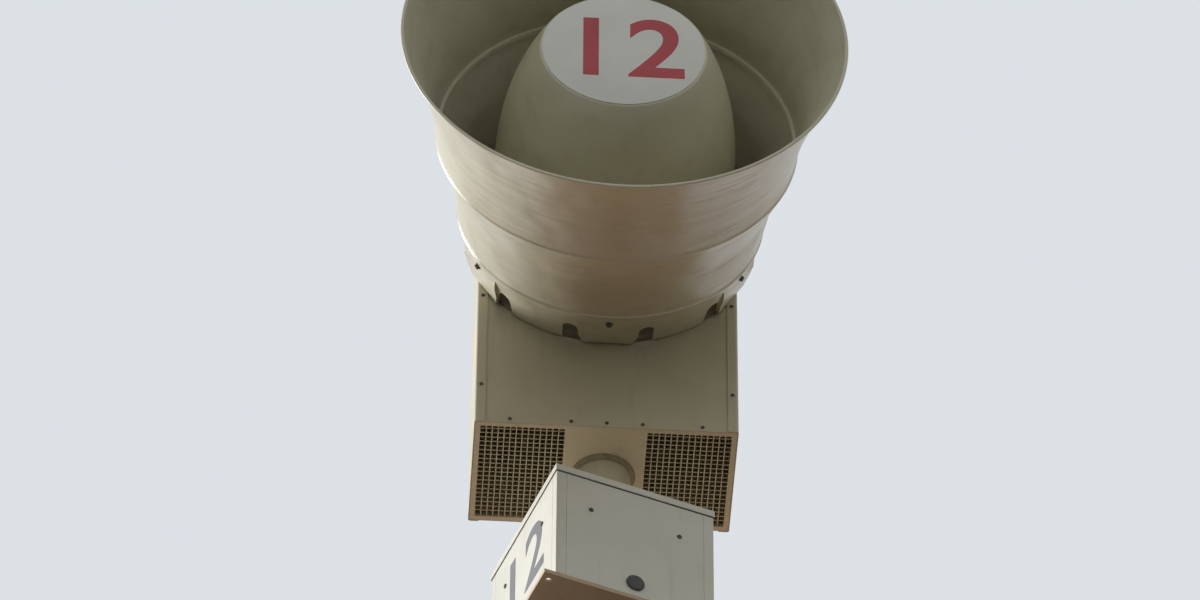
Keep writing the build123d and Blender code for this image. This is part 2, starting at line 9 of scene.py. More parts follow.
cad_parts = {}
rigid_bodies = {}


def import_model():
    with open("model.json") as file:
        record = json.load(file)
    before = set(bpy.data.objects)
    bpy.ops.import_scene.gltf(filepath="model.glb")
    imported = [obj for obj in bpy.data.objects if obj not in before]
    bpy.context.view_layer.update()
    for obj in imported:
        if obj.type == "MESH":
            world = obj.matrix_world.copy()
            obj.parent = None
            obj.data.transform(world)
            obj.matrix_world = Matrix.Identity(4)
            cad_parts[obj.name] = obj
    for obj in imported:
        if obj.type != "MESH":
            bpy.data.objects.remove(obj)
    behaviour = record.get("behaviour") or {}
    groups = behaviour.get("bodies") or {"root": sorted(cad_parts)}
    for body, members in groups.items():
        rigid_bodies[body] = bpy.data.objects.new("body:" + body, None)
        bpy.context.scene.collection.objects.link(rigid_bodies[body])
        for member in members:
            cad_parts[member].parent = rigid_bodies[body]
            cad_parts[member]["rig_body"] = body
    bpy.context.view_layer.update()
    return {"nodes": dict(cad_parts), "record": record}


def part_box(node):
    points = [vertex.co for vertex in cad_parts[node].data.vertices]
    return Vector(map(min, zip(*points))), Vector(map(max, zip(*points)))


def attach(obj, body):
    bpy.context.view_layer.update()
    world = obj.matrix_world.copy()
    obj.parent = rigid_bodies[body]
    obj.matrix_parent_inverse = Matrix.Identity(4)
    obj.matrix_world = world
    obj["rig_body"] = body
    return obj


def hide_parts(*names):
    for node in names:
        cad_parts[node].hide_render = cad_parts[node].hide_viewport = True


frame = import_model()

mm = 0.001
print("frame loaded:", len(frame["nodes"]), "nodes")

# What the frame says about the places of the main pieces, in metres
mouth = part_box("horn_bell")[0].y
housing = (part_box("housing_left_side")[0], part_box("housing_right_side")[1])
axisHeight = (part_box("horn_bell")[0].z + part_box("horn_bell")[1].z) / 2
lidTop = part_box("rotator_lid")[1].z
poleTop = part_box("pole_top_plate")[1].z
headBottom = housing[0].z


def placed(name, data):
    thing = bpy.data.objects.new(name, data)
    bpy.context.scene.collection.objects.link(thing)
    return thing


# Camera: stands low on the ground left of the pole, and looks up at the horn's mouth through a long lens
photo = {
    "width": 1200, "height": 600,
    "focal": 7576.34,  # in pixels
    "azimuth": -3.3608, "elevation": -49.0316, "roll": 0.1814,
    "distance": 15.538,  # metres to the middle of the mouth
    "mouthPixel": (624.81, 36.0),
    "sensor": 36.0,  # millimetres
    "farthest": 400.0,  # metres
}


def makeCamera():
    a, e, r = (math.radians(photo[k]) for k in ("azimuth", "elevation", "roll"))
    back = Vector((math.sin(a) * math.cos(e), -math.cos(a) * math.cos(e), math.sin(e)))
    right = Vector((0, 0, 1)).cross(back).normalized()
    up = back.cross(right)
    right, up = right * math.cos(r) + up * math.sin(r), up * math.cos(r) - right * math.sin(r)
    x = (photo["mouthPixel"][0] - photo["width"] / 2) / photo["focal"]
    y = (photo["height"] / 2 - photo["mouthPixel"][1]) / photo["focal"]
    turn = Vector((x, y, -1)).rotation_difference(Vector((0, 0, -1))).to_matrix()
    axes = Matrix((right, up, back)).transposed() @ turn
    data = bpy.data.cameras.new("photoCamera")
    data.sensor_width = photo["sensor"]
    data.lens = photo["focal"] * photo["sensor"] / photo["width"]
    data.clip_end = photo["farthest"]
    camera = placed("photoCamera", data)
    place = Vector((0, mouth, axisHeight)) + photo["distance"] * back
    camera.matrix_world = Matrix.Translation(place) @ axes.to_4x4()
    bpy.context.scene.camera = camera


makeCamera()
print("camera made")


# Materials

# An sRGB colour as Blender's linear one
def linear(hexColour):
    values = [int(hexColour[i:i + 2], 16) / 255 for i in (1, 3, 5)]
    return [v / 12.92 if v <= 0.04045 else ((v + 0.055) / 1.055) ** 2.4 for v in values] + [1]


# Adds a node: settings are its properties or, by their shown names or numbers, its inputs; links are
# input=(node, output), where i0 is the input with the number 0
def addNode(tree, kind, settings=(), **links):
    node = tree.nodes.new("ShaderNode" + kind)
    for key, value in dict(settings).items():
        if isinstance(key, str) and hasattr(node, key):
            setattr(node, key, value)
        else:
            node.inputs[key].default_value = value
    for key, (source, output) in links.items():
        target = node.inputs[int(key[1:])] if key[0] == "i" and key[1:].isdigit() else node.inputs[key]
        tree.links.new(source.outputs[output], target)
    return node


def startMaterial(name, shaderSettings):
    material = bpy.data.materials.new(name)
    material.use_nodes = True
    tree = material.node_tree
    tree.nodes.clear()
    out = tree.nodes.new("ShaderNodeOutputMaterial")
    shader = addNode(tree, "BsdfPrincipled", shaderSettings)
    tree.links.new(shader.outputs["BSDF"], out.inputs["Surface"])
    place = addNode(tree, "TexCoord")
    return material, tree, shader, place


# The settings of a MapRange node that rises smoothly from 0 at low to 1 at high
def eased(low, high):
    return {"interpolation_type": "SMOOTHSTEP", "From Min": low, "From Max": high}


# A noise whose features are featureSize metres across; stretch gives how much longer they are along x, y, z.
# It comes back as the (node, output) pair that a link takes
def noiseOf(tree, place, featureSize, detail=3, stretch=(1, 1, 1), contrast=(0.35, 0.65)):
    mapping = addNode(tree, "Mapping", {"Scale": [1 / (featureSize * s) for s in stretch]},
                      Vector=(place, "Object"))
    noise = addNode(tree, "TexNoise", {"Scale": 1.0, "Detail": detail, "Roughness": 0.55},
                    Vector=(mapping, "Vector"))
    return addNode(tree, "MapRange", eased(*contrast), Value=(noise, "Fac")), "Result"


# Gives a surface its look: ground is two colours and the pattern that mixes them, stain a colour laid over by
# a share of its pattern, roughness its least and most and their pattern, and relief a list of patterns with
# their heights in metres
def finishSurface(tree, shader, ground, roughness, relief, stain=None):
    low, high, pattern = ground
    colour = addNode(tree, "Mix", {"data_type": "RGBA", 6: linear(low), 7: linear(high)}, i0=pattern)
    if stain:
        over, pattern, share = stain
        amount = addNode(tree, "Math", {"operation": "MULTIPLY", 1: share}, i0=pattern)
        colour = addNode(tree, "Mix", {"data_type": "RGBA", 7: linear(over)}, i0=(amount, "Value"),
                         i6=(colour, 2))
    tree.links.new(colour.outputs[2], shader.inputs["Base Color"])
    low, high, pattern = roughness
    spread = addNode(tree, "MapRange", {"To Min": low, "To Max": high}, Value=pattern)
    tree.links.new(spread.outputs["Result"], shader.inputs["Roughness"])
    links = {}
    for pattern, height in relief:
        bump = addNode(tree, "Bump", {"Strength": 1.0, "Distance": height}, Height=pattern, **links)
        links = {"Normal": (bump, "Normal")}
    tree.links.new(bump.outputs["Normal"], shader.inputs["Normal"])


hornFinish = {
    "pale": "#CBC7B1", "deep": "#C1BCA4", "stain": "#A9A088", "stainShare": 0.35, "roughness": (0.30, 0.40),
    "blotch": 0.35, "streakLength": 9.0, "streakWidth": 0.035,
    "ringSpacing": 0.030, "ringLength": 9.0, "ringDepth": 0.0012, "smoothDepth": 0.0002,
    "waveSize": 0.22, "waveDepth": 0.004,
}


# Glass-fibre polyester with a moulded gel coat: a deep wet gloss that has chalked a little, over faint rings
# printed through from the mould, so its highlights are soft and break up along the axis
def moulded(name, ringDepth):
    f = hornFinish
    material, tree, shader, place = startMaterial(name, {
        "Roughness": 0.34, "IOR": 1.52, "Coat Weight": 0.25, "Coat Roughness": 0.28})
    blotch = noiseOf(tree, place, f["blotch"], 4, contrast=(0.25, 0.75))
    streak = noiseOf(tree, place, f["streakWidth"], 3, (1, 1, f["streakLength"]), (0.52, 0.80))
    rings = noiseOf(tree, place, f["ringSpacing"], 2, (f["ringLength"], 1, f["ringLength"]))
    waves = noiseOf(tree, place, f["waveSize"], 2)
    finishSurface(tree, shader, (f["deep"], f["pale"], blotch), (*f["roughness"], blotch),
                  [(waves, f["waveDepth"]), (rings, ringDepth)], (f["stain"], streak, f["stainShare"]))
    return material


sheetFinishes = {  # pale and deep colour, stain, roughness
    "housing": ("#C4BCA3", "#B5AC91", "#8E8569", (0.36, 0.46)),
    "rotator": ("#D4D1C5", "#C9C6B8", "#9D9985", (0.34, 0.44)),
    "plate": ("#B8A283", "#AC9675", "#8A7758", (0.42, 0.54)),
    "cabinet": ("#C9CBC7", "#BEC0BB", "#8F908A", (0.40, 0.50)),
    # screen and pan are paler copies of the housing's paint: painted light on the underside
    "screen": ("#D6CEB6", "#C8BFA6", "#8E8569", (0.45, 0.55)),
    "pan": ("#E0D5B9", "#D3C7AA", "#A3967A", (0.38, 0.48)),
}
sheetPattern = {
    "blotch": 0.28, "streakWidth": 0.022, "streakLength": 12, "stainShare": 0.30,
    "bowSize": 0.17, "bowDepth": 0.0026, "peelSize": 0.0025, "peelDepth": 0.00006,
}


# Powder-coated aluminium sheet: an even semi-gloss skin with orange peel about 2.5 mm across, drawn shallow,
# over sheet that bows slightly between its fixings, with rain marks that run down
def powderCoated(key):
    (pale, deep, stain, roughness), p = sheetFinishes[key], sheetPattern
    material, tree, shader, place = startMaterial(key + "PowderCoat", {
        "Roughness": 0.4, "IOR": 1.5, "Coat Weight": 0.08, "Coat Roughness": 0.2})
    blotch = noiseOf(tree, place, p["blotch"], 4, contrast=(0.2, 0.8))
    streak = noiseOf(tree, place, p["streakWidth"], 4, (1, 1, p["streakLength"]), (0.54, 0.84))
    peel = noiseOf(tree, place, p["peelSize"], 1)
    bow = noiseOf(tree, place, p["bowSize"], 1, contrast=(0.2, 0.8))
    finishSurface(tree, shader, (deep, pale, blotch), (*roughness, blotch),
                  [(bow, p["bowDepth"]), (peel, p["peelDepth"])], (stain, streak, p["stainShare"]))
    return material


steelFinish = {
    "light": "#B7BBBD", "dark": "#9A9FA2", "bloom": "#C9CBC9", "bloomShare": 0.6,
    "spangle": 0.016, "drainWidth": 0.09, "drainLength": 7, "roughness": (0.42, 0.60),
    "skinSize": 0.006, "skinDepth": 0.00012,
}


# Hot-dip galvanised steel, a few winters old: crystals 10 to 20 mm across in slightly different greys, dulled
# by a pale bloom that follows how the molten zinc drained
def galvanised():
    f = steelFinish
    material, tree, shader, place = startMaterial("galvanisedSteel", {"Metallic": 0.65, "Roughness": 0.5})
    cells = addNode(tree, "TexVoronoi", {"Scale": 1 / f["spangle"]}, Vector=(place, "Object"))
    grey = addNode(tree, "SeparateColor", Color=(cells, "Color"))
    drain = noiseOf(tree, place, f["drainWidth"], 4, (1, 1, f["drainLength"]))
    skin = noiseOf(tree, place, f["skinSize"], 2)
    finishSurface(tree, shader, (f["dark"], f["light"], (grey, "Red")), (*f["roughness"], drain),
                  [(skin, f["skinDepth"])], (f["bloom"], drain, f["bloomShare"]))
    return material


# A plain material: one pattern leads its colours and roughness, and its relief too where grain gives no size
def plain(name, settings, colours, roughness, size, depth, detail=3, contrast=(0.35, 0.65), grain=None):
    material, tree, shader, place = startMaterial(name, settings)
    pattern = noiseOf(tree, place, size, detail, contrast=contrast)
    relief = noiseOf(tree, place, grain, 2) if grain else pattern
    finishSurface(tree, shader, (*colours, pattern), (*roughness, pattern), [(relief, depth)])
    return material


# Sand-cast aluminium under thick paint: the sand's grain, about 1.5 mm, is left in the skin. Its colours are
# painted dark: painted shade for the stator seen deep in the throat and through the lugs' notches
casting = plain("castingPaintedShade", {"Roughness": 0.5, "IOR": 1.5}, ("#6E6450", "#7E735C"), (0.46, 0.58),
                size=0.12, depth=0.00015, detail=4, grain=0.0015)

# EPDM rubber, moulded: nearly black and matt, with a grey bloom from the weather
rubber = plain("mouldedRubber", {"Roughness": 0.7, "IOR": 1.52}, ("#3A3A39", "#504F4D"), (0.62, 0.78),
               size=0.012, depth=0.0001)

# Polyurethane sealant, tooled by hand and painted over: matt, a little lumpy, with dust stuck to it. Its
# colours are darker than the pan's paint, partly painted shade for the hollow where the neck meets the pan
sealantAndShade = plain("tooledSealantAndShade", {"Roughness": 0.75, "IOR": 1.48}, ("#877D66", "#A2977E"), (0.68, 0.82),
                size=0.009, depth=0.0003)


# Zinc-plated steel fasteners gone dull and dark: a grey metal with small lighter wear
def platedSteel(name, dark, light, roughness):
    return plain(name, {"Metallic": 0.85, "Roughness": roughness}, (dark, light),
                 (roughness - 0.08, roughness + 0.12), size=0.004, depth=0.00005)


# Enamel sign paint, brushed thin and sun-bleached: an even colour that lightens in soft patches
def signEnamel(name, deep, pale, roughness):
    return plain(name, {"Roughness": roughness, "IOR": 1.5}, (deep, pale),
                 (roughness - 0.05, roughness + 0.08), size=0.09, depth=0.00004, detail=4,
                 contrast=(0.15, 0.85), grain=0.003)


gelCoat = moulded("mouldedGelCoat", hornFinish["ringDepth"])
smoothCoat = moulded("mouldedSmoothCoat", hornFinish["smoothDepth"])  # the side that lay against the mould
paint = {key: powderCoated(key) for key in sheetFinishes}
zinc = galvanised()
darkScrew = platedSteel("weatheredScrew", "#3B3935", "#5A564E", 0.5)
brightBolt = platedSteel("galvanisedBolt", "#8A8E90", "#B0B3B4", 0.45)
faceEnamel = signEnamel("faceEnamel", "#D3D2CC", "#DDDCD7", 0.42)
redEnamel = signEnamel("redEnamel", "#A52A33", "#BC3A43", 0.4)
charcoalEnamel = signEnamel("charcoalEnamel", "#45454A", "#5B5B60", 0.45)
print("materials made")


# Mesh tools

# Points from three coordinates, each of them an array or one number
def pointsOf(x, y, z):
    return np.stack(np.broadcast_arrays(x, y, z), axis=-1)


def polar(radius, u, z):
    return pointsOf(radius * np.cos(u), radius * np.sin(u), z)


# The angles of count places round a full turn
def circle(count):
    return np.linspace(0, 2 * np.pi, count, endpoint=False)


def unit(vectors):
    return vectors / np.linalg.norm(vectors, axis=-1, keepdims=True)


# Three numbers for each vertex or face of a mesh
def valuesOf(items, key):
    values = np.zeros(len(items) * 3)
    items.foreach_get(key, values)
    return values.reshape(-1, 3)


# Quads between the neighbours of a grid of points; a closed side wraps round
def gridQuads(rows, columns, wrapRows=False, wrapColumns=False):
    r = np.arange(rows if wrapRows else rows - 1)
    c = np.arange(columns if wrapColumns else columns - 1)
    r, c = np.meshgrid(r, c, indexing="ij")
    r1, c1 = (r + 1) % rows, (c + 1) % columns
    corners = (r * columns + c, r * columns + c1, r1 * columns + c1, r1 * columns + c)
    return np.stack(corners, axis=-1).reshape(-1, 4)


mergeDistance = 1e-6  # metres below which two points are one


# Smooth shading with the edges over sharpAngle degrees kept crisp, and the one material
def shade(mesh, material, sharpAngle):
    mesh.polygons.foreach_set("use_smooth", np.ones(len(mesh.polygons), bool))
    mesh.set_sharp_from_angle(angle=math.radians(sharpAngle))
    mesh.materials.clear()
    mesh.materials.append(material)


def addPiece(name, mesh, body, replaced=()):
    piece = placed(name, mesh)
    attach(piece, body)
    if replaced:
        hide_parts(*replaced)
    return piece


# Makes the piece: doubles are merged and faces turned outwards
def makePiece(name, points, faces, body, material, slot, sharpAngle=35, replaced=()):
    mesh = bpy.data.meshes.new(name)
    mesh.from_pydata(np.asarray(points, float).reshape(-1, 3), [], faces)
    tidy = bmesh.new()
    tidy.from_mesh(mesh)
    bmesh.ops.remove_doubles(tidy, verts=tidy.verts, dist=mergeDistance)
    bmesh.ops.dissolve_degenerate(tidy, edges=tidy.edges, dist=mergeDistance / 10)
    bmesh.ops.recalc_face_normals(tidy, faces=tidy.faces)
    tidy.to_mesh(mesh)
    tidy.free()
    shade(mesh, material, sharpAngle)
    return addPiece(name, mesh, body, replaced)


# A quadratic curve for each corner: (1-t)^2 start + 2t(1-t) corner + t^2 end
def curves(start, corner, end, steps):
    t = np.linspace(0, 1, steps + 1)[None, :, None]
    points = (1 - t) ** 2 * start[:, None] + 2 * t * (1 - t) * corner[:, None] + t ** 2 * end[:, None]
    return points.reshape(-1, 2)


# Each corner of a closed outline becomes a curve between the points that lie reach before and after it. Reach
# is cut to half the shorter side
def roundedOutline(corners, reach, steps=3):
    corners = np.asarray(corners, float)
    before = np.roll(corners, 1, axis=0) - corners
    after = np.roll(corners, -1, axis=0) - corners
    shorter = np.minimum(*[np.linalg.norm(v, axis=1) for v in (before, after)])
    reach = np.minimum(reach, shorter / 2)[:, None]
    return curves(corners + unit(before) * reach, corners, corners + unit(after) * reach, steps)


# A closed outline of (radius, height) is turned about Z, from 45 degrees on: (radius cos u, radius sin u,
# height)
def turned(outline, segments):
    radius, height = outline[:, :1], outline[:, 1:]
    points = polar(radius, circle(segments) + np.pi / 4, height)
    return points, gridQuads(len(outline), segments, True, True)


# Joins several (points, quads) shapes into one
def joined(shapes):
    points, quads = zip(*shapes)
    points = [p.reshape(-1, 3) for p in points]
    starts = np.cumsum([0] + [len(p) for p in points])
    return np.concatenate(points), np.concatenate([q + start for q, start in zip(quads, starts)])


# Copies a shape that stands at the origin on +Z to every place, turned so that +Z goes along each direction:
# point = place + x * side + y * up + z * direction
def copied(shape, places, directions):
    points, quads = shape[0].reshape(-1, 3), shape[1]
    places = np.asarray(places, float).reshape(-1, 3)
    z = unit(np.broadcast_to(np.asarray(directions, float), places.shape))
    upright = np.abs(z[:, 2:]) > 0.9
    x = unit(np.cross(np.where(upright, [[1.0, 0, 0]], [[0, 0, 1.0]]), z))
    axes = np.stack([x, np.cross(z, x), z], axis=1)
    allPoints = places[:, None] + np.einsum("pk,nkj->npj", points, axes)
    steps = np.arange(len(places))[:, None, None] * len(points)
    return allPoints.reshape(-1, 3), (quads[None] + steps).reshape(-1, 4)


# A sheet bent along a path in plan, between two heights. The path's corners are rounded over the bend's
# length, and both faces are offsets of it: path + normal * thickness / 2
def bentSheet(path, thickness, bend, low, high):
    path = np.asarray(path, float)
    inner = path[1:-1]
    before, after = (unit(v - inner) * bend for v in (path[:-2], path[2:]))
    line = np.concatenate([path[:1], curves(inner + before, inner, inner + after, 5), path[-1:]])
    run = unit(np.gradient(line, axis=0))
    normal = np.stack([-run[:, 1], run[:, 0]], axis=1) * thickness / 2
    section = np.concatenate([line + normal, (line - normal)[::-1]])
    n = len(section)
    levels = [pointsOf(*section.T, z) for z in (low, high)]
    k = np.arange(len(line) - 1)
    cap = np.stack([k, k + 1, n - 2 - k, n - 1 - k], axis=1)
    return np.concatenate(levels), np.concatenate([gridQuads(2, n, False, True), cap, cap + n])


# A box between two corners
def flatBar(low, high):
    x, y, z = np.meshgrid(*[(low[i], high[i]) for i in range(3)], indexing="ij")
    quads = np.array([[0, 1, 3, 2], [4, 6, 7, 5], [0, 4, 5, 1], [2, 3, 7, 6], [0, 2, 6, 4], [1, 5, 7, 3]])
    return pointsOf(x, y, z).reshape(-1, 3), quads


# Four bars round an opening: two over the whole width, and two between them. Outer and inner are both
# (x0, y0, x1, y1)
def frameBars(outer, inner, low, high):
    (x0, y0, x1, y1), (a0, b0, a1, b1) = outer, inner
    spans = ((x0, y0, x1, b0), (x0, b1, x1, y1), (x0, b0, a0, b1), (a1, b0, x1, b1))
    return [flatBar((left, front, low), (right, rear, high)) for left, front, right, rear in spans]


slotOf = {s["node"]: s["material_slot"] for s in frame["record"]["subparts"]}
flatAngle, creaseAngle, edgeAngle = 0.5, 32, 40  # degrees: merged below, shaded crisp above, broken above


# A CAD node with its sharp edges broken, as on bent or cut sheet: a merged copy of its mesh with a bevel
def softened(node, width, material):
    source = frame["nodes"][node]
    name = node + "Softened"
    mesh = bpy.data.meshes.new(name)
    tidy = bmesh.new()
    tidy.from_mesh(source.data)
    bmesh.ops.remove_doubles(tidy, verts=tidy.verts, dist=mergeDistance)
    bmesh.ops.dissolve_limit(tidy, angle_limit=math.radians(flatAngle), verts=tidy.verts, edges=tidy.edges)
    tidy.to_mesh(mesh)
    tidy.free()
    if "custom_normal" in mesh.attributes:
        mesh.attributes.remove(mesh.attributes["custom_normal"])
    shade(mesh, material, creaseAngle)
    piece = addPiece(name, mesh, source["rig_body"], [node])
    bevel = piece.modifiers.new("brokenEdges", "BEVEL")
    bevel.width = width * mm
    bevel.segments = 2
    bevel.limit_method = "ANGLE"
    bevel.angle_limit = math.radians(edgeAngle)


# Horn: a bell and a throat about the horn's axis, which runs along +Y from the mouth

horn = {
    "wall": 3.4, "mouthRadius": 457.0, "bellDepth": 278.0, "jointRadius": 377.0,
    "flarePower": 1.64,  # how sharply the bell opens towards its mouth
    "length": 585.0,
    "throatLine": [(278, 377.0), (382, 338), (489, 322), (585, 297.5)],  # depth, outer radius
    "blend": 26.0,  # length over which the throat's slope changes
    "grooveDepth": 489.0, "grooveDip": 1.3, "swell": 1.9, "swellSize": 20.0,  # step and swell behind it
    "ringInside": 6.5, "ringLength": 7.0, "seamDip": 1.4,
    "bandStand": 2.1, "bandSize": 16.0,  # the raised band behind the seam
    "stepFall": 14.0, "stepRise": 3.5,  # lengths over which a step's dip comes on, and turns into its rise
    "edgeReach": 1.2,  # rounding of the bell's ends
    "segments": 240, "bellRows": 72, "rowPower": 1.6,  # rows are closer together towards the seam
}
lug = {
    "count": 6, "rampStart": 508.0, "rampEnd": 530.0, "halfAngle": 11.0, "sideAngle": 11.5, "stand": 0.6,
    "sideWidth": 0.05,  # degrees in which a lug's side falls to the wall
    "notchAngle": 15.1, "notchRadius": 16.0, "notchDepth": 52.0, "notchLean": 12.0, "notchGap": 1.0,
    "rearRadius": 300.0,  # radius at which the notches are measured
    "squeeze": 496.0,  # depth from which the rows are drawn towards the notches
    "columns": (12, 15, 8),  # on half a facet, round a notch, and from there half way to the next bolt
    "boltDepth": 514.0,
}


# Points about the horn's axis: (radius sin angle, depth, -radius cos angle) from the middle of its mouth
def hornPoints(radius, depth, angle):
    return pointsOf(radius * np.sin(angle) * mm, mouth + depth * mm, axisHeight - radius * np.cos(angle) * mm)


# A closed outline of (radius, depth) carried round the horn's axis
def carried(outline, segments):
    return hornPoints(outline[:, :1], outline[:, 1:], circle(segments))


# A piece of the head from a grid of points that closes both ways, in place of a node
def hornPiece(name, points, material, sharpAngle, node):
    quads = gridQuads(*points.shape[:2], True, True)
    return makePiece(name, points, quads, "head", material, slotOf[node], sharpAngle, [node])


# A step that faces the mouth: the wall sinks slowly by dip, rises sharply over place, stands out and sinks
# back. With gap = depth - place it is -dip exp(-(gap / fall)^2) before and stand exp(-(gap / size)^2) behind,
# and share = 1 / (1 + exp(-4 gap / rise)) leads from one to the other
def step(depth, place, dip, stand, size):
    gap = np.asarray(depth, float) - place
    share = 1 / (1 + np.exp(np.clip(-4 * gap / horn["stepRise"], -60, 60)))  # the clip keeps exp in range
    before = -dip * np.exp(-(np.minimum(gap, 0) / horn["stepFall"]) ** 2)
    behind = stand * np.exp(-(np.maximum(gap, 0) / size) ** 2)
    return before * (1 - share) + behind * share


def seamStep(depth):
    return step(depth, horn["bellDepth"] + 1, horn["seamDip"], horn["bandStand"], horn["bandSize"])


# Outer radius of the bell at a depth: joint + (mouth - joint) * (1 - depth / bellDepth) ^ flarePower
def bellRadius(depth):
    share = np.clip(1 - depth / horn["bellDepth"], 0, 1)
    return horn["jointRadius"] + (horn["mouthRadius"] - horn["jointRadius"]) * share ** horn["flarePower"]


# Outer radius of the throat: its straight stretches, the mean of 21 places over the blend length, with the
# groove's step
def throatRadius(depth):
    line = np.array(horn["throatLine"])
    depth = np.asarray(depth, float)
    near = depth[..., None] + np.linspace(-0.5, 0.5, 21) * horn["blend"]
    slopeIn = (line[1, 1] - line[0, 1]) / (line[1, 0] - line[0, 0])
    slopeOut = (line[-1, 1] - line[-2, 1]) / (line[-1, 0] - line[-2, 0])
    radius = np.interp(near, line[:, 0], line[:, 1])
    radius += slopeIn * np.minimum(near - line[0, 0], 0) + slopeOut * np.maximum(near - line[-1, 0], 0)
    return radius.mean(axis=-1) + step(depth, horn["grooveDepth"], horn["grooveDip"], horn["swell"],
                                       horn["swellSize"])


# The inner side of a horn piece is smooth: its faces are those that point towards the horn's axis
def smoothInside(piece):
    faces = piece.data.polygons
    outward = valuesOf(faces, "center") - (0, mouth, axisHeight)
    inside = (outward * valuesOf(faces, "normal"))[:, [0, 2]].sum(axis=1) < 0
    piece.data.materials.append(smoothCoat)
    faces.foreach_set("material_index", inside.astype(np.int32))


# The bell's radius with the seam's step on the outside, and less the wall on the inside
def makeBell():
    depth = horn["bellDepth"] * (1 - np.linspace(1, 0, horn["bellRows"]) ** horn["rowPower"])
    outer = np.stack([bellRadius(depth) + seamStep(depth), depth], axis=1)
    inner = np.stack([bellRadius(depth) - horn["wall"], depth], axis=1)[::-1]
    corners = np.concatenate([outer, inner])
    reach = np.zeros(len(corners))
    reach[[0, -1]] = horn["edgeReach"]
    outline = roundedOutline(corners, reach)
    smoothInside(hornPiece("hornBell", carried(outline, horn["segments"]), gelCoat, 40, "horn_bell"))


# Angles from a bolt, in degrees, of the throat's columns over one sixth of a turn, and how far each column is
# cut back at the rear: nothing on the lug, a line that leans over the notch's inner side, then its half-round
def throatColumns():
    arc = math.degrees(1) / lug["rearRadius"]  # degrees for one millimetre round the rear edge
    n, r, lean = lug["notchAngle"], lug["notchRadius"], lug["notchLean"]
    onFacet, inNotch, beyond = lug["columns"]
    shoulder = lug["notchDepth"] - r
    leanStart, leanEnd = n - (r + lean) * arc, n - r * arc
    flat = np.linspace(0, leanStart, onFacet + 1)[:-1]
    leaning = np.array([leanStart, lug["sideAngle"], lug["sideAngle"] + lug["sideWidth"]])
    across = r * np.sin(np.linspace(-np.pi / 2, np.pi / 2, inNotch))
    rest = np.linspace(n + (r + lug["notchGap"]) * arc, 180 / lug["count"], beyond)
    side = np.concatenate([flat, leaning, n + across * arc, rest])
    cut = np.concatenate([np.zeros(len(flat)), shoulder * (leaning - leanStart) / (leanEnd - leanStart),
                          shoulder + np.sqrt(r ** 2 - across ** 2), np.zeros(len(rest))])
    return np.concatenate([-side[:0:-1], side])[1:], np.concatenate([cut[:0:-1], cut])[1:]


# The throat is a grid of depth against angle. The rows of its rear stretch are drawn together to end on a
# line that dips round each notch. A lug is a flat facet that the wall's curve falls away from, with a ramp
# before it: radius = facet distance / cos(angle from the bolt), where that is more than the wall's own radius
def makeThroat():
    degrees, cut = throatColumns()
    fromBolt = np.tile(np.radians(degrees), lug["count"])
    angle = fromBolt + np.repeat(circle(lug["count"]), len(degrees))
    rear = horn["length"] - np.tile(cut, lug["count"])
    start, squeeze, length = horn["bellDepth"], lug["squeeze"], horn["length"]
    ringEnd = start + horn["ringLength"]
    # Depths of the rows, which are closer together behind the seam, in the groove and on the lugs
    behindSeam, plainWall = start + 22 * np.linspace(0, 1, 20) ** 1.3, np.linspace(start + 26, 480, 36)
    inGroove, onLugs = np.linspace(481.5, squeeze, 18)[:-1], np.linspace(squeeze, length, 50)
    outerRows = np.concatenate([behindSeam, plainWall, inGroove, onLugs])
    innerRows = np.concatenate([[start, ringEnd, ringEnd + 0.3], np.linspace(start + 12, squeeze, 24)[:-1],
                                np.linspace(squeeze, length, 12)])

    def depths(rows):
        share = np.clip((rows - squeeze) / (length - squeeze), 0, 1)[:, None]
        return np.where(share > 0, squeeze + share * (rear - squeeze), rows[:, None])

    depth = depths(outerRows)
    base = throatRadius(depth) + seamStep(depth)
    rampFoot = throatRadius(np.array(lug["rampStart"])) * math.cos(math.radians(lug["halfAngle"]))
    rampTop = throatRadius(np.array(lug["rampEnd"])) + lug["stand"]
    climb = (depth - lug["rampStart"]) / (lug["rampEnd"] - lug["rampStart"])
    distance = np.where(climb < 1, rampFoot + climb * (rampTop - rampFoot),
                        throatRadius(depth) + lug["stand"])
    inLug = (np.abs(np.degrees(fromBolt)) <= lug["sideAngle"]) & (climb >= 0)
    outer = np.where(inLug, np.maximum(base, distance / np.cos(fromBolt)), base)
    innerDepth = depths(innerRows)
    onRing = innerRows[:, None] <= ringEnd
    inner = throatRadius(innerDepth) - horn["wall"] - horn["ringInside"] * onRing
    points = np.concatenate([hornPoints(outer, depth, angle), hornPoints(inner, innerDepth, angle)[::-1]])
    smoothInside(hornPiece("hornThroat", points, gelCoat, 28, "horn_throat"))


lip = {"seat": 0.4, "middle": 3.0, "across": 2.5, "along": 2.8, "sides": 14}


# A bead: an ellipse with these half axes, carried round the mouth
def makeLip():
    t = circle(lip["sides"])
    outline = np.stack([horn["mouthRadius"] + lip["seat"] + lip["across"] * np.cos(t),
                        lip["middle"] + lip["along"] * np.sin(t)], axis=1)
    hornPiece("hornLip", carried(outline, horn["segments"]), gelCoat, 60, "horn_lip")


dome = {
    "radius": 250.0, "widest": 350.0, "halfAxis": 427.0, "front": 39.0, "rear": 492.0,
    "edge": 3.0, "wall": 5.0, "faceRadius": 168.0, "faceThickness": 2.0, "faceEdge": 0.8,
    "segments": 180, "rows": 60,
    "numberHeight": 175.0, "numberDrop": 4.0, "numberStand": 0.1,
}


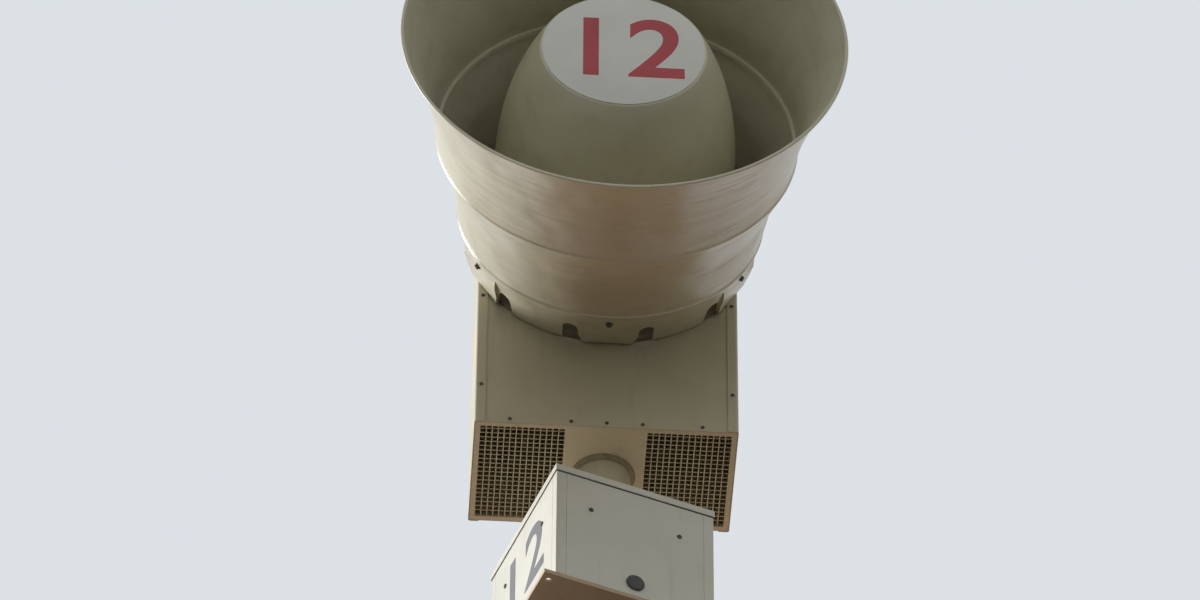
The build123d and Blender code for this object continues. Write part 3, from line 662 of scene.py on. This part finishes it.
# The dome's side is an ellipse: radius * sqrt(1 - ((widest - depth) / halfAxis)^2), then straight to its rear
def makeDome():
    front, wall = dome["front"], dome["wall"]
    depth = np.concatenate([np.linspace(front, dome["widest"], dome["rows"]), [dome["rear"]]])
    share = np.clip((dome["widest"] - depth) / dome["halfAxis"], 0, 1)
    side = np.stack([dome["radius"] * np.sqrt(1 - share ** 2), depth], axis=1)
    inside = (side - [[wall, 0]])[::-1]
    inside[-1, 1] += wall
    corners = np.concatenate([[[0.0, front]], side, inside, [[0.0, front + wall]]])
    reach = np.zeros(len(corners))
    reach[1] = dome["edge"]
    points = carried(roundedOutline(corners, reach, 5), dome["segments"])
    hornPiece("domeShell", points, smoothCoat, 40, "dome")


def makeDomeFace():
    rear, radius = dome["front"], dome["faceRadius"]
    front = rear - dome["faceThickness"]
    corners = [(0, rear), (radius, rear), (radius, front), (0, front)]
    outline = roundedOutline(corners, [0, 0, dome["faceEdge"], 0])
    hornPiece("domeFace", carried(outline, dome["segments"]), faceEnamel, 40, "dome_face")


lettering = {
    "size": 1 / 0.7, "bolder": 0.022,  # of the type, and how far its outline moves out, in heights of a digit
    "spacing": 1.08, "thickness": 0.2,
}


# A painted number: the type's outline made a mesh, a fraction of a millimetre thick, and put on its surface
def paintedNumber(name, height, centre, right, up, body, material):
    curve = bpy.data.curves.new(name, "FONT")
    curve.body = "12"
    curve.size = height * lettering["size"]
    curve.align_x = curve.align_y = "CENTER"
    curve.extrude = lettering["thickness"] * mm
    curve.offset = height * lettering["bolder"]
    curve.space_character = lettering["spacing"]
    holder = placed(name, curve)
    mesh = bpy.data.meshes.new_from_object(holder)
    bpy.data.objects.remove(holder)
    right, up = Vector(right).normalized(), Vector(up).normalized()
    axes = Matrix((right, up, right.cross(up))).transposed().to_4x4()
    mesh.transform(Matrix.Translation(Vector(centre)) @ axes)
    mesh.name = name
    mesh.materials.clear()
    mesh.materials.append(material)
    addPiece(name, mesh, body)


makeBell()
makeThroat()
makeLip()
makeDome()
makeDomeFace()
numberDepth = dome["front"] - dome["faceThickness"] - dome["numberStand"]
numberFace = (0, mouth + numberDepth * mm, axisHeight - dome["numberDrop"] * mm)
paintedNumber("domeNumber", dome["numberHeight"] * mm, numberFace, (1, 0, 0), (0, 0, 1), "head", redEnamel)
print("horn and dome made")


# Fasteners

# Across the flats, height, and the washer's radius and thickness, in millimetres
hexSizes = {
    "lug": (10, 5, 7.5, 1.2), "bearing": (13, 6, 8.5, 1.6), "anchor": (55, 29, 36, 6),
    "clamp": (10, 5, 8, 1.5), "handhole": (13, 5, 9, 1.5), "strap": (8, 4, 6, 1.0),
}


# A hex head on a round washer, standing on the origin: two turned outlines, one of them with six sides
def hexHead(use):
    acrossFlats, height, washer, thickness = hexSizes[use]
    radius, top = acrossFlats / math.sqrt(3), thickness + height
    head = roundedOutline([(0, thickness), (radius, thickness), (radius, top), (0, top)],
                          [0, 0, height * 0.2, 0], 2)
    disc = np.array([(0, -thickness / 2), (washer, -thickness / 2), (washer, thickness), (0, thickness)])
    return joined([turned(head * mm, 6), turned(disc * mm, 16)])


# A pan head, sunk 0.3 mm: a low dome on its flat underside
def panHead(radius, height):
    outline = roundedOutline([(0, -0.3), (radius, -0.3), (radius, height * 0.55), (radius * 0.6, height),
                              (0, height)], [0, 0, height * 0.3, radius * 0.3, 0], 3)
    return turned(outline * mm, 16)


sheet = {"thickness": 2.5, "bend": 4.0, "flange": 22.0}
screw = {
    "radius": 4.2, "height": 2.8, "fromEdge": 12.0, "spacing": 268.0, "lowest": -438.0, "count": 3,
    "rowX": (-199, -73, 0, 74, 197), "rowUp": 11.0,
}


# Screws down both flanges of the side sheets, and a row low on the panel between them, which is set back by
# the sheet's thickness
def makeHousingScrews():
    x = housing[1].x - screw["fromEdge"] * mm
    heights = axisHeight + (screw["lowest"] + screw["spacing"] * np.arange(screw["count"])) * mm
    row, rowHeight = np.array(screw["rowX"]) * mm, headBottom + screw["rowUp"] * mm
    shapes = []
    for y, way in ((housing[0].y, -1), (housing[1].y, 1)):
        panel = y - way * sheet["thickness"] * mm
        places = [pointsOf(-x, y, heights), pointsOf(x, y, heights), pointsOf(row, panel, rowHeight)]
        shapes.append(copied(panHead(screw["radius"], screw["height"]), np.concatenate(places), (0, way, 0)))
    makePiece("housingScrews", *joined(shapes), "head", darkScrew, "housing_enamel", 40)


# Each bolt stands square to the wall, which leans by the slope of the throat's radius
def makeLugBolts():
    turn = circle(lug["count"])
    near = throatRadius(np.array([lug["boltDepth"], lug["boltDepth"] + 1]))
    places = hornPoints(near[0], lug["boltDepth"], turn)
    directions = pointsOf(np.sin(turn), near[0] - near[1], -np.cos(turn))
    makePiece("lugBolts", *copied(hexHead("lug"), places, directions), "head", darkScrew, "horn_gelcoat")


makeHousingScrews()
makeLugBolts()
print("fasteners on the head made")


# Intake screens: two layers of round wire, welded where they cross, in a flat edge strip

screen = {
    "pitch": 12.4, "wire": 2.8, "columns": 14, "rows": 21, "sides": 8,
    "over": 4.0,  # how far a wire runs on over the strip
}


# Straight wires: a ring of points at each end of each wire, start + (end - start) * t + radius * ring
def wires(starts, ends, radius):
    sides = screen["sides"]
    side, up = np.cross(unit(ends - starts), [0.0, 0, 1]), np.array([0.0, 0, 1])
    u = circle(sides)[:, None]
    ring = radius * (np.cos(u) * side[:, None] + np.sin(u) * up)
    points = np.stack([starts[:, None] + ring, ends[:, None] + ring], axis=1)
    k = np.arange(1, sides // 2)
    cap = np.stack([k - 1, k, sides - 1 - k, sides - k], axis=1)
    one = np.concatenate([gridQuads(2, sides, False, True), cap, cap + sides])
    steps = np.arange(len(starts))[:, None, None] * 2 * sides
    return points.reshape(-1, 3), (one[None] + steps).reshape(-1, 4)


def makeScreen(node, name):
    low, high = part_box(node)
    middle = (low + high) / 2
    p, r, over = screen["pitch"] * mm, screen["wire"] * mm / 2, screen["over"] * mm
    halfX, halfY = screen["columns"] * p / 2, screen["rows"] * p / 2
    x = middle.x + (np.arange(1, screen["columns"]) - screen["columns"] / 2) * p
    y = middle.y + (np.arange(1, screen["rows"]) - screen["rows"] / 2) * p
    lengthwise = [pointsOf(x, middle.y + s * (halfY + over), low.z + r) for s in (-1, 1)]
    crosswise = [pointsOf(middle.x + s * (halfX + over), y, low.z + 3 * r) for s in (-1, 1)]
    opening = (middle.x - halfX, middle.y - halfY, middle.x + halfX, middle.y + halfY)
    strips = frameBars((low.x, low.y, high.x, high.y), opening, low.z, high.z)
    shape = joined([wires(*lengthwise, r), wires(*crosswise, r)] + strips)
    makePiece(name, *shape, "head", paint["screen"], "screen_wire", 50, [node])


makeScreen("left_intake_screen", "leftScreen")
makeScreen("right_intake_screen", "rightScreen")
print("screens made")


# Housing and neck

# A side sheet is one sheet bent twice: front flange, side, rear flange
def makeHousingSide(node, name, sign):
    low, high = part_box(node)
    t = sheet["thickness"] * mm
    outerX = sign * housing[1].x
    x = outerX - sign * t / 2
    edge = outerX - sign * sheet["flange"] * mm
    y0, y1 = low.y + t / 2, high.y - t / 2
    shape = bentSheet([(edge, y0), (x, y0), (x, y1), (edge, y1)], t, sheet["bend"] * mm, low.z, high.z)
    makePiece(name, *shape, "head", paint["housing"], "housing_enamel", 35, [node])


neckSeal = {
    "clearance": 0.3, "rim": 1.0,  # gap to the pipe, and height of the outer edge
    "foot": 0.4, "edge": 0.5,  # width at the bottom, and rounding of the outer edge
}


# The tooled bead round the neck is a quarter of an ellipse, hollow side out, from the pan down to the pipe:
# (radius - reach sin t, top - rim - drop (1 - cos t))
def makeNeckSeal():
    clearance, rim, foot, edge = (neckSeal[k] * mm for k in ("clearance", "rim", "foot", "edge"))
    low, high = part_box("neck_flange")
    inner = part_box("neck_pipe")[1].x + clearance
    top, radius = high.z, high.x
    reach, drop = radius - inner - foot, top - low.z - rim
    t = np.linspace(0, np.pi / 2, 16)
    fillet = np.stack([radius - reach * np.sin(t), top - rim - drop * (1 - np.cos(t))], axis=1)
    corners = np.concatenate([[[inner, top], [radius, top]], fillet, [[inner, low.z]]])
    reachAt = np.zeros(len(corners))
    reachAt[[1, 2]] = edge
    shape = turned(roundedOutline(corners, reachAt), 96)
    # The bead's darker colours are partly painted shade, where the neck meets the pan
    makePiece("neckSeal", *shape, "head", sealantAndShade, "plug_rubber", 35, ["neck_flange"])


makeHousingSide("housing_left_side", "housingLeftSide", -1)
makeHousingSide("housing_right_side", "housingRightSide", 1)
makeNeckSeal()
softened("housing_top", 1.2, paint["housing"])
print("housing made")


# Rotator box

for node, width, finish in (("rotator_lid", 1.2, "rotator"), ("rotator_posts", 0.9, "rotator"),
                            ("pole_top_plate", 1.2, "plate")):
    softened(node, width, paint[finish])

rotator = {
    "turn": 19.6,  # degrees about the pole
    "side": 345.0, "screwA": 97.0, "screwUp": 205.0, "screwRadius": 5.2, "screwHeight": 3.2,
    "numberUp": 154.0, "numberHeight": 150.0, "numberStand": 0.15,
    "shadowStripHeight": 2.6, "shadowStripStand": 0.7,  # a dark rubber strip under the lid's edge, which paints in the shadow line there
    "shadowStripSunk": (0.5, 0.2),  # how far it goes into the box's face and the lid
    "boltCount": 6, "boltRadius": 90.0, "boltUp": 10.0,
}
rotatorTurn = math.radians(rotator["turn"])


# A direction in the rotator's own axes: a across the front, b towards the back
def rotatorWay(a, b):
    c, s = math.cos(rotatorTurn), math.sin(rotatorTurn)
    return pointsOf(a * c - b * s, a * s + b * c, 0.0)


# A place in those axes, up from the box's underside, in millimetres
def rotatorPoint(a, b, up):
    return rotatorWay(a, b) * mm + pointsOf(0.0, 0.0, poleTop + up * mm)


def makeRotatorScrews():
    half = rotator["side"] / 2
    places, directions = [], []
    for a, b in ((0, -1), (1, 0), (0, 1), (-1, 0)):
        for along in (-rotator["screwA"], rotator["screwA"]):
            places.append(rotatorPoint(a * half - b * along, b * half + a * along, rotator["screwUp"]))
            directions.append(rotatorWay(a, b))
    shape = copied(panHead(rotator["screwRadius"], rotator["screwHeight"]), places, directions)
    makePiece("rotatorScrews", *shape, "pole", darkScrew, "rotator_enamel", 40)


# Four flat bars of dark rubber round the box, from just inside its face out to the stand, and up into the
# lid's
# edge: a painted shadow line under the lid
def makeLidShadowStrip():
    inward, upward = rotator["shadowStripSunk"]
    inner, outer = rotator["side"] / 2 - inward, rotator["side"] / 2 + rotator["shadowStripStand"]
    top = (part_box("rotator_lid")[0].z - poleTop) / mm + upward
    points, quads = joined(frameBars((-outer, -outer, outer, outer), (-inner, -inner, inner, inner),
                                     top - rotator["shadowStripHeight"], top))
    makePiece("lidShadowStrip", rotatorPoint(*points.T), quads, "pole", rubber, "plug_rubber")


def makeBearingBolts():
    turn = circle(rotator["boltCount"])
    places = polar(rotator["boltRadius"] * mm, turn, lidTop + rotator["boltUp"] * mm)
    shape = copied(hexHead("bearing"), places, (0, 0, 1))
    makePiece("bearingBolts", *shape, "pole", brightBolt, "rotator_enamel")


makeRotatorScrews()
makeLidShadowStrip()
makeBearingBolts()
leftFace = rotatorPoint(-rotator["side"] / 2 - rotator["numberStand"], 0, rotator["numberUp"])
paintedNumber("rotatorNumber", rotator["numberHeight"] * mm, leftFace, -rotatorWay(0, 1), (0, 0, 1), "pole",
              charcoalEnamel)
print("rotator made")


# Pole, foot and cabinet

foot = {
    "circle": 560.0, "thickness": 38.0, "rod": 18.0, "rodStart": 2.0, "stickOut": 92.0,
    "pitch": 4.0, "threadDepth": 1.4, "chamfer": (4.0, 2.0), "boltAngles": (45, 135, 225, 315),
}
shaft = {
    "width": 330.0, "taper": 0.0117,  # across the flats at the ground, and lost for each millimetre of height
    "wall": 6.0, "slipGap": 0.3,  # the upper tube goes over the lower one
    "footWeld": 9.0, "topWeld": 7.0, "ripple": 0.10, "ripples": 90, "weldSteps": 360,
}


# A threaded rod end: the outline steps in and out once for each turn of the thread
def makeAnchorBolts():
    plate, rod = foot["thickness"], foot["rod"]
    top = plate + foot["stickOut"]
    inward, down = foot["chamfer"]
    count = int((top - plate) / foot["pitch"]) * 2
    z = np.linspace(plate, top - down, count)
    r = rod - foot["threadDepth"] * (np.arange(count) % 2)
    corners = [(0, foot["rodStart"]), (rod, foot["rodStart"]), *zip(r, z), (rod - inward, top), (0, top)]
    angles = np.radians(foot["boltAngles"])
    ring = polar(foot["circle"] / 2 * mm, angles, 0.0)
    shape = joined([copied(turned(np.array(corners) * mm, 24), ring, (0, 0, 1)),
                    copied(hexHead("anchor"), ring + pointsOf(0.0, 0.0, plate * mm), (0, 0, 1))])
    makePiece("anchorBolts", *shape, "pole", brightBolt, "galvanised_steel")


# A fillet weld round a twelve-sided shaft: a quarter-round section carried along the flats, whose size
# ripples with the welder's steps: size (1 + ripple sin(ripples u))
def weldRing(width, z, size, outward):
    u = circle(shaft["weldSteps"])
    halfFlat = np.pi / 12
    flats = width / 2 / np.cos((u + halfFlat) % (2 * halfFlat) - halfFlat)
    bead = size * (1 + shaft["ripple"] * np.sin(u * shaft["ripples"]))
    section = np.array([(-0.4, 0), (1, 0), (0.72, 0.55), (0.3, 0.9), (-0.4, 1)])  # in sizes of the bead
    radius = flats[None] + section[:, :1] * bead[None]
    height = z + outward * section[:, 1:] * bead[None]
    return polar(radius, u, height) * mm, gridQuads(len(section), len(u), True, True)


def makeWelds():
    low, top = foot["thickness"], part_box("pole_upper")[1].z / mm
    widths = [shaft["width"] - shaft["taper"] * z for z in (low, top)]
    sleeve = 2 * (shaft["wall"] + shaft["slipGap"])
    shape = joined([weldRing(widths[0], low, shaft["footWeld"], 1),
                    weldRing(widths[1] + sleeve, top, shaft["topWeld"], -1)])
    makePiece("poleWelds", *shape, "pole", zinc, "galvanised_steel", 50)


for node, width, finish in (("base_flange", 2.0, zinc), ("cabinet_box", 1.5, paint["cabinet"]),
                            ("cabinet_door", 1.5, paint["cabinet"]), ("cabinet_rails", 1.0, zinc),
                            ("base_gussets", 1.5, zinc), ("pole_top_gussets", 1.2, zinc)):
    softened(node, width, finish)
makeAnchorBolts()
makeWelds()

hinge = {
    "heights": (-270, 0, 270), "radius": 8.0, "length": 78.0, "fromFace": 14.0, "groove": 1.5,
    "knuckles": (0, 0.32, 0.34, 0.66, 0.68, 1.0),  # where it steps in and out, in shares of its length
    "leaf": (30.0, 2.0),  # from how far behind the pin to how far
}
clamp = {
    "heights": (-230, 230), "half": 18.0, "thickness": 3.0, "bend": 3.0,
    "onBox": ((1.5, -62), (1.5, -30)), "onDoor": ((4, -26), (4, -1.6), (-16, -1.6)),  # its path in plan
    "screw": (3, -50),
}
vent = {"rows": 6, "lowest": 110.0, "pitch": 26.0, "length": 150.0, "height": 14.0, "stand": 9.0, "sunk": 0.4}


# A hinge barrel in three knuckles: the outline steps in at each joint
def makeHinges():
    low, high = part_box("cabinet_door")
    full, length = hinge["radius"], hinge["length"]
    thin = full - hinge["groove"]
    cuts = np.array(hinge["knuckles"]) * length - length / 2
    radii = [0, full, full, thin, thin, full, full, thin, thin, full, full, 0]
    barrel = turned(np.column_stack([radii, np.repeat(cuts, 2)]) * mm, 20)
    x, y = low.x - full * mm, high.y - hinge["fromFace"] * mm
    heights = (low.z + high.z) / 2 + np.array(hinge["heights"]) * mm
    far, near = (v * mm for v in hinge["leaf"])
    half = length / 2 * mm
    leaves = [flatBar((x, y - far, z - half), (x + full * mm, y - near, z + half)) for z in heights]
    shape = joined([copied(barrel, pointsOf(x, y, heights), (0, 0, 1))] + leaves)
    makePiece("doorHinges", *shape, "pole", brightBolt, "cabinet_enamel")


# A pull-down clamp on the door's free edge: a bent strap with a screw through it
def makeClamps():
    low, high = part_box("cabinet_door")
    boxSide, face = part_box("cabinet_box")[1].x, high.y
    path = [(x + a * mm, face + b * mm) for x, line in ((boxSide, clamp["onBox"]), (high.x, clamp["onDoor"]))
            for a, b in line]
    half, thickness, bend = (clamp[k] * mm for k in ("half", "thickness", "bend"))
    a, b = clamp["screw"]
    shapes = []
    for z in (low.z + high.z) / 2 + np.array(clamp["heights"]) * mm:
        shapes.append(bentSheet(path, thickness, bend, z - half, z + half))
        shapes.append(copied(hexHead("clamp"), (boxSide + a * mm, face + b * mm, z), (1, 0, 0)))
    makePiece("doorClamps", *joined(shapes), "pole", brightBolt, "cabinet_enamel")


# A pressed louvre: a hood over a slot. With t from -1 to 1 along it and s from 0 to 1 up it, it stands out by
# stand sqrt(1 - t^4) cos(90 degrees * s), and it is closed on the cabinet's side
def makeLouvres():
    low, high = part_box("cabinet_box")
    t, s = np.linspace(-1, 1, 21)[None, :], np.linspace(0, 1, 9)[:, None]
    along, rise = t * vent["length"] / 2, vent["height"] * s
    bulge = vent["stand"] * np.sqrt(np.clip(1 - t ** 4, 0, 1)) * np.cos(s * np.pi / 2)
    hood = np.concatenate([pointsOf(along, rise, bulge), pointsOf(along, rise, -vent["sunk"])[::-1]])
    along, rise, bulge = hood.reshape(-1, 3).T * mm
    quads = gridQuads(*hood.shape[:2], True, False)
    heights = low.z + (vent["lowest"] + vent["pitch"] * np.arange(vent["rows"])) * mm
    middle = (low.y + high.y) / 2
    shapes = [(pointsOf(side * (high.x + bulge), middle + along, z + rise), quads)
              for side in (-1, 1) for z in heights]
    makePiece("cabinetLouvres", *joined(shapes), "pole", paint["cabinet"], "cabinet_enamel")


makeHinges()
makeClamps()
makeLouvres()

handholeScrews = {"fromMiddle": 100.0}
strapBolts = {"fromBack": 9.0, "fromEnd": 8.0}


def makeHandholeScrews():
    low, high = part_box("handhole_cover")
    heights = (low.z + high.z) / 2 + handholeScrews["fromMiddle"] * mm * np.array([-1, 1])
    shape = copied(hexHead("handhole"), pointsOf(low.x, 0.0, heights), (-1, 0, 0))
    makePiece("handholeScrews", *shape, "pole", brightBolt, "galvanised_steel")


# Each strap, told from the others by its height to 0.1 m, has a bolt on each ear of its foot
def makeStrapBolts():
    co = valuesOf(frame["nodes"]["conduit_straps"].data.vertices, "co")
    back, end = strapBolts["fromBack"] * mm, strapBolts["fromEnd"] * mm
    places = []
    for level in np.unique(np.round(co[:, 2], 1)):
        low, high = (f(co[np.abs(co[:, 2] - level) < 0.1], axis=0) for f in (np.min, np.max))
        places += [(x, low[1] + back, (low[2] + high[2]) / 2) for x in (low[0] + end, high[0] - end)]
    shape = copied(hexHead("strap"), places, (0, 1, 0))
    makePiece("strapBolts", *shape, "pole", brightBolt, "galvanised_steel")


makeHandholeScrews()
makeStrapBolts()
print("pole and cabinet made")


# Every CAD node that stays takes the finish of its slot. The underside pan takes a paler copy of the
# housing's
# paint: painted light from below
panPaintedLightFinish = {"housing_bottom": paint["pan"]}
finishOf = {
    "galvanised_steel": zinc, "cabinet_enamel": paint["cabinet"], "rotator_enamel": paint["rotator"],
    "housing_enamel": paint["housing"], "horn_gelcoat": gelCoat, "stator_casting": casting,
    "screen_wire": paint["screen"], "plug_rubber": rubber, "dome_face_enamel": faceEnamel,
}
for node, obj in frame["nodes"].items():
    obj.data.materials.clear()
    obj.data.materials.append(panPaintedLightFinish.get(node, finishOf[slotOf[node]]))


# Studio: a pale floor, a pale world whose light fills the shade, and a soft key from the left rear

studio = {
    "key": 3.3, "keyAngle": 26, "keyFrom": (-0.89, 0.30, 0.34),  # strength, degrees across, where it stands
    "sky": "#CFD1CD", "skyLevel": 1.10, "backdrop": "#DCE1E6",
    "floor": "#CFD0D0", "floorGlow": 0.10, "floorRadius": 150.0, "floorSides": 128,
    "bounceFront": "#241B14",  # the floor's colour for its light on things, in front of the pole
    "bounceBack": "#9C7656",  # and behind it
    "bounceTurn": 4.0,  # metres before and behind the pole between which one turns into the other
    "floorFade": (14.0, 90.0),  # metres from the pole between which the floor turns into the backdrop
}


def makeKey():
    data = bpy.data.lights.new("keyLamp", "SUN")
    data.energy = studio["key"]
    data.angle = math.radians(studio["keyAngle"])
    lamp = placed("keyLamp", data)
    lamp.rotation_euler = Vector(studio["keyFrom"]).to_track_quat("Z", "Y").to_euler()


# 1 where the camera, a reflection or a clear material looks, which sees the pale colour, and 0 for the light
# on things, which is another
def shownShare(tree):
    path = addNode(tree, "LightPath")
    share = (path, "Is Camera Ray")
    for ray in ("Is Glossy Ray", "Is Transmission Ray"):
        share = addNode(tree, "Math", {"operation": "MAXIMUM"}, i0=share, i1=(path, ray)), "Value"
    return share


def makeWorld():
    world = bpy.data.worlds.new("paleWorld")
    bpy.context.scene.world = world
    world.use_nodes = True
    tree = world.node_tree
    tree.nodes.clear()
    out = tree.nodes.new("ShaderNodeOutputWorld")
    light = addNode(tree, "Background", {"Color": linear(studio["sky"]), "Strength": studio["skyLevel"]})
    shown = addNode(tree, "Background", {"Color": linear(studio["backdrop"]), "Strength": 1.0})
    mix = addNode(tree, "MixShader", i0=shownShare(tree), i1=(light, "Background"), i2=(shown, "Background"))
    tree.links.new(mix.outputs["Shader"], out.inputs["Surface"])


# A round floor: (radius cos u, radius sin u, 0). What is seen of it turns into the backdrop with the distance
def makeFloor():
    rim = polar(studio["floorRadius"], circle(studio["floorSides"]), 0.0)
    mesh = bpy.data.meshes.new("studioFloor")
    mesh.from_pydata(rim, [], [list(range(len(rim)))])
    material, tree, shader, place = startMaterial("floorPaper", {"Roughness": 0.9})
    share = shownShare(tree)
    axes = addNode(tree, "SeparateXYZ", Vector=(place, "Object"))
    turn = studio["bounceTurn"]
    behind = addNode(tree, "MapRange", eased(-turn, turn), Value=(axes, "Y"))
    bounce = addNode(tree, "Mix", {"data_type": "RGBA", 6: linear(studio["bounceFront"]),
                                   7: linear(studio["bounceBack"])}, i0=(behind, "Result"))
    colour = addNode(tree, "Mix", {"data_type": "RGBA", 7: linear(studio["floor"])}, i0=share, i6=(bounce, 2))
    glow = addNode(tree, "Math", {"operation": "MULTIPLY", 1: studio["floorGlow"]}, i0=share)
    tree.links.new(colour.outputs[2], shader.inputs["Base Color"])
    tree.links.new(colour.outputs[2], shader.inputs["Emission Color"])
    tree.links.new(glow.outputs["Value"], shader.inputs["Emission Strength"])
    away = addNode(tree, "VectorMath", {"operation": "LENGTH"}, i0=(place, "Object"))
    fade = addNode(tree, "MapRange", eased(*studio["floorFade"]), Value=(away, "Value"))
    faded = addNode(tree, "Math", {"operation": "MULTIPLY"}, i0=(fade, "Result"), i1=share)
    backdrop = addNode(tree, "Emission", {"Color": linear(studio["backdrop"]), "Strength": 1.0})
    mix = addNode(tree, "MixShader", i0=(faded, "Value"), i1=(shader, "BSDF"), i2=(backdrop, "Emission"))
    out = next(n for n in tree.nodes if n.type == "OUTPUT_MATERIAL")
    tree.links.new(mix.outputs["Shader"], out.inputs["Surface"])
    mesh.materials.append(material)
    placed("studioFloor", mesh)


makeKey()
makeWorld()
makeFloor()
bpy.context.scene.view_settings.view_transform = "Standard"
print("studio made")

bpy.context.view_layer.update()
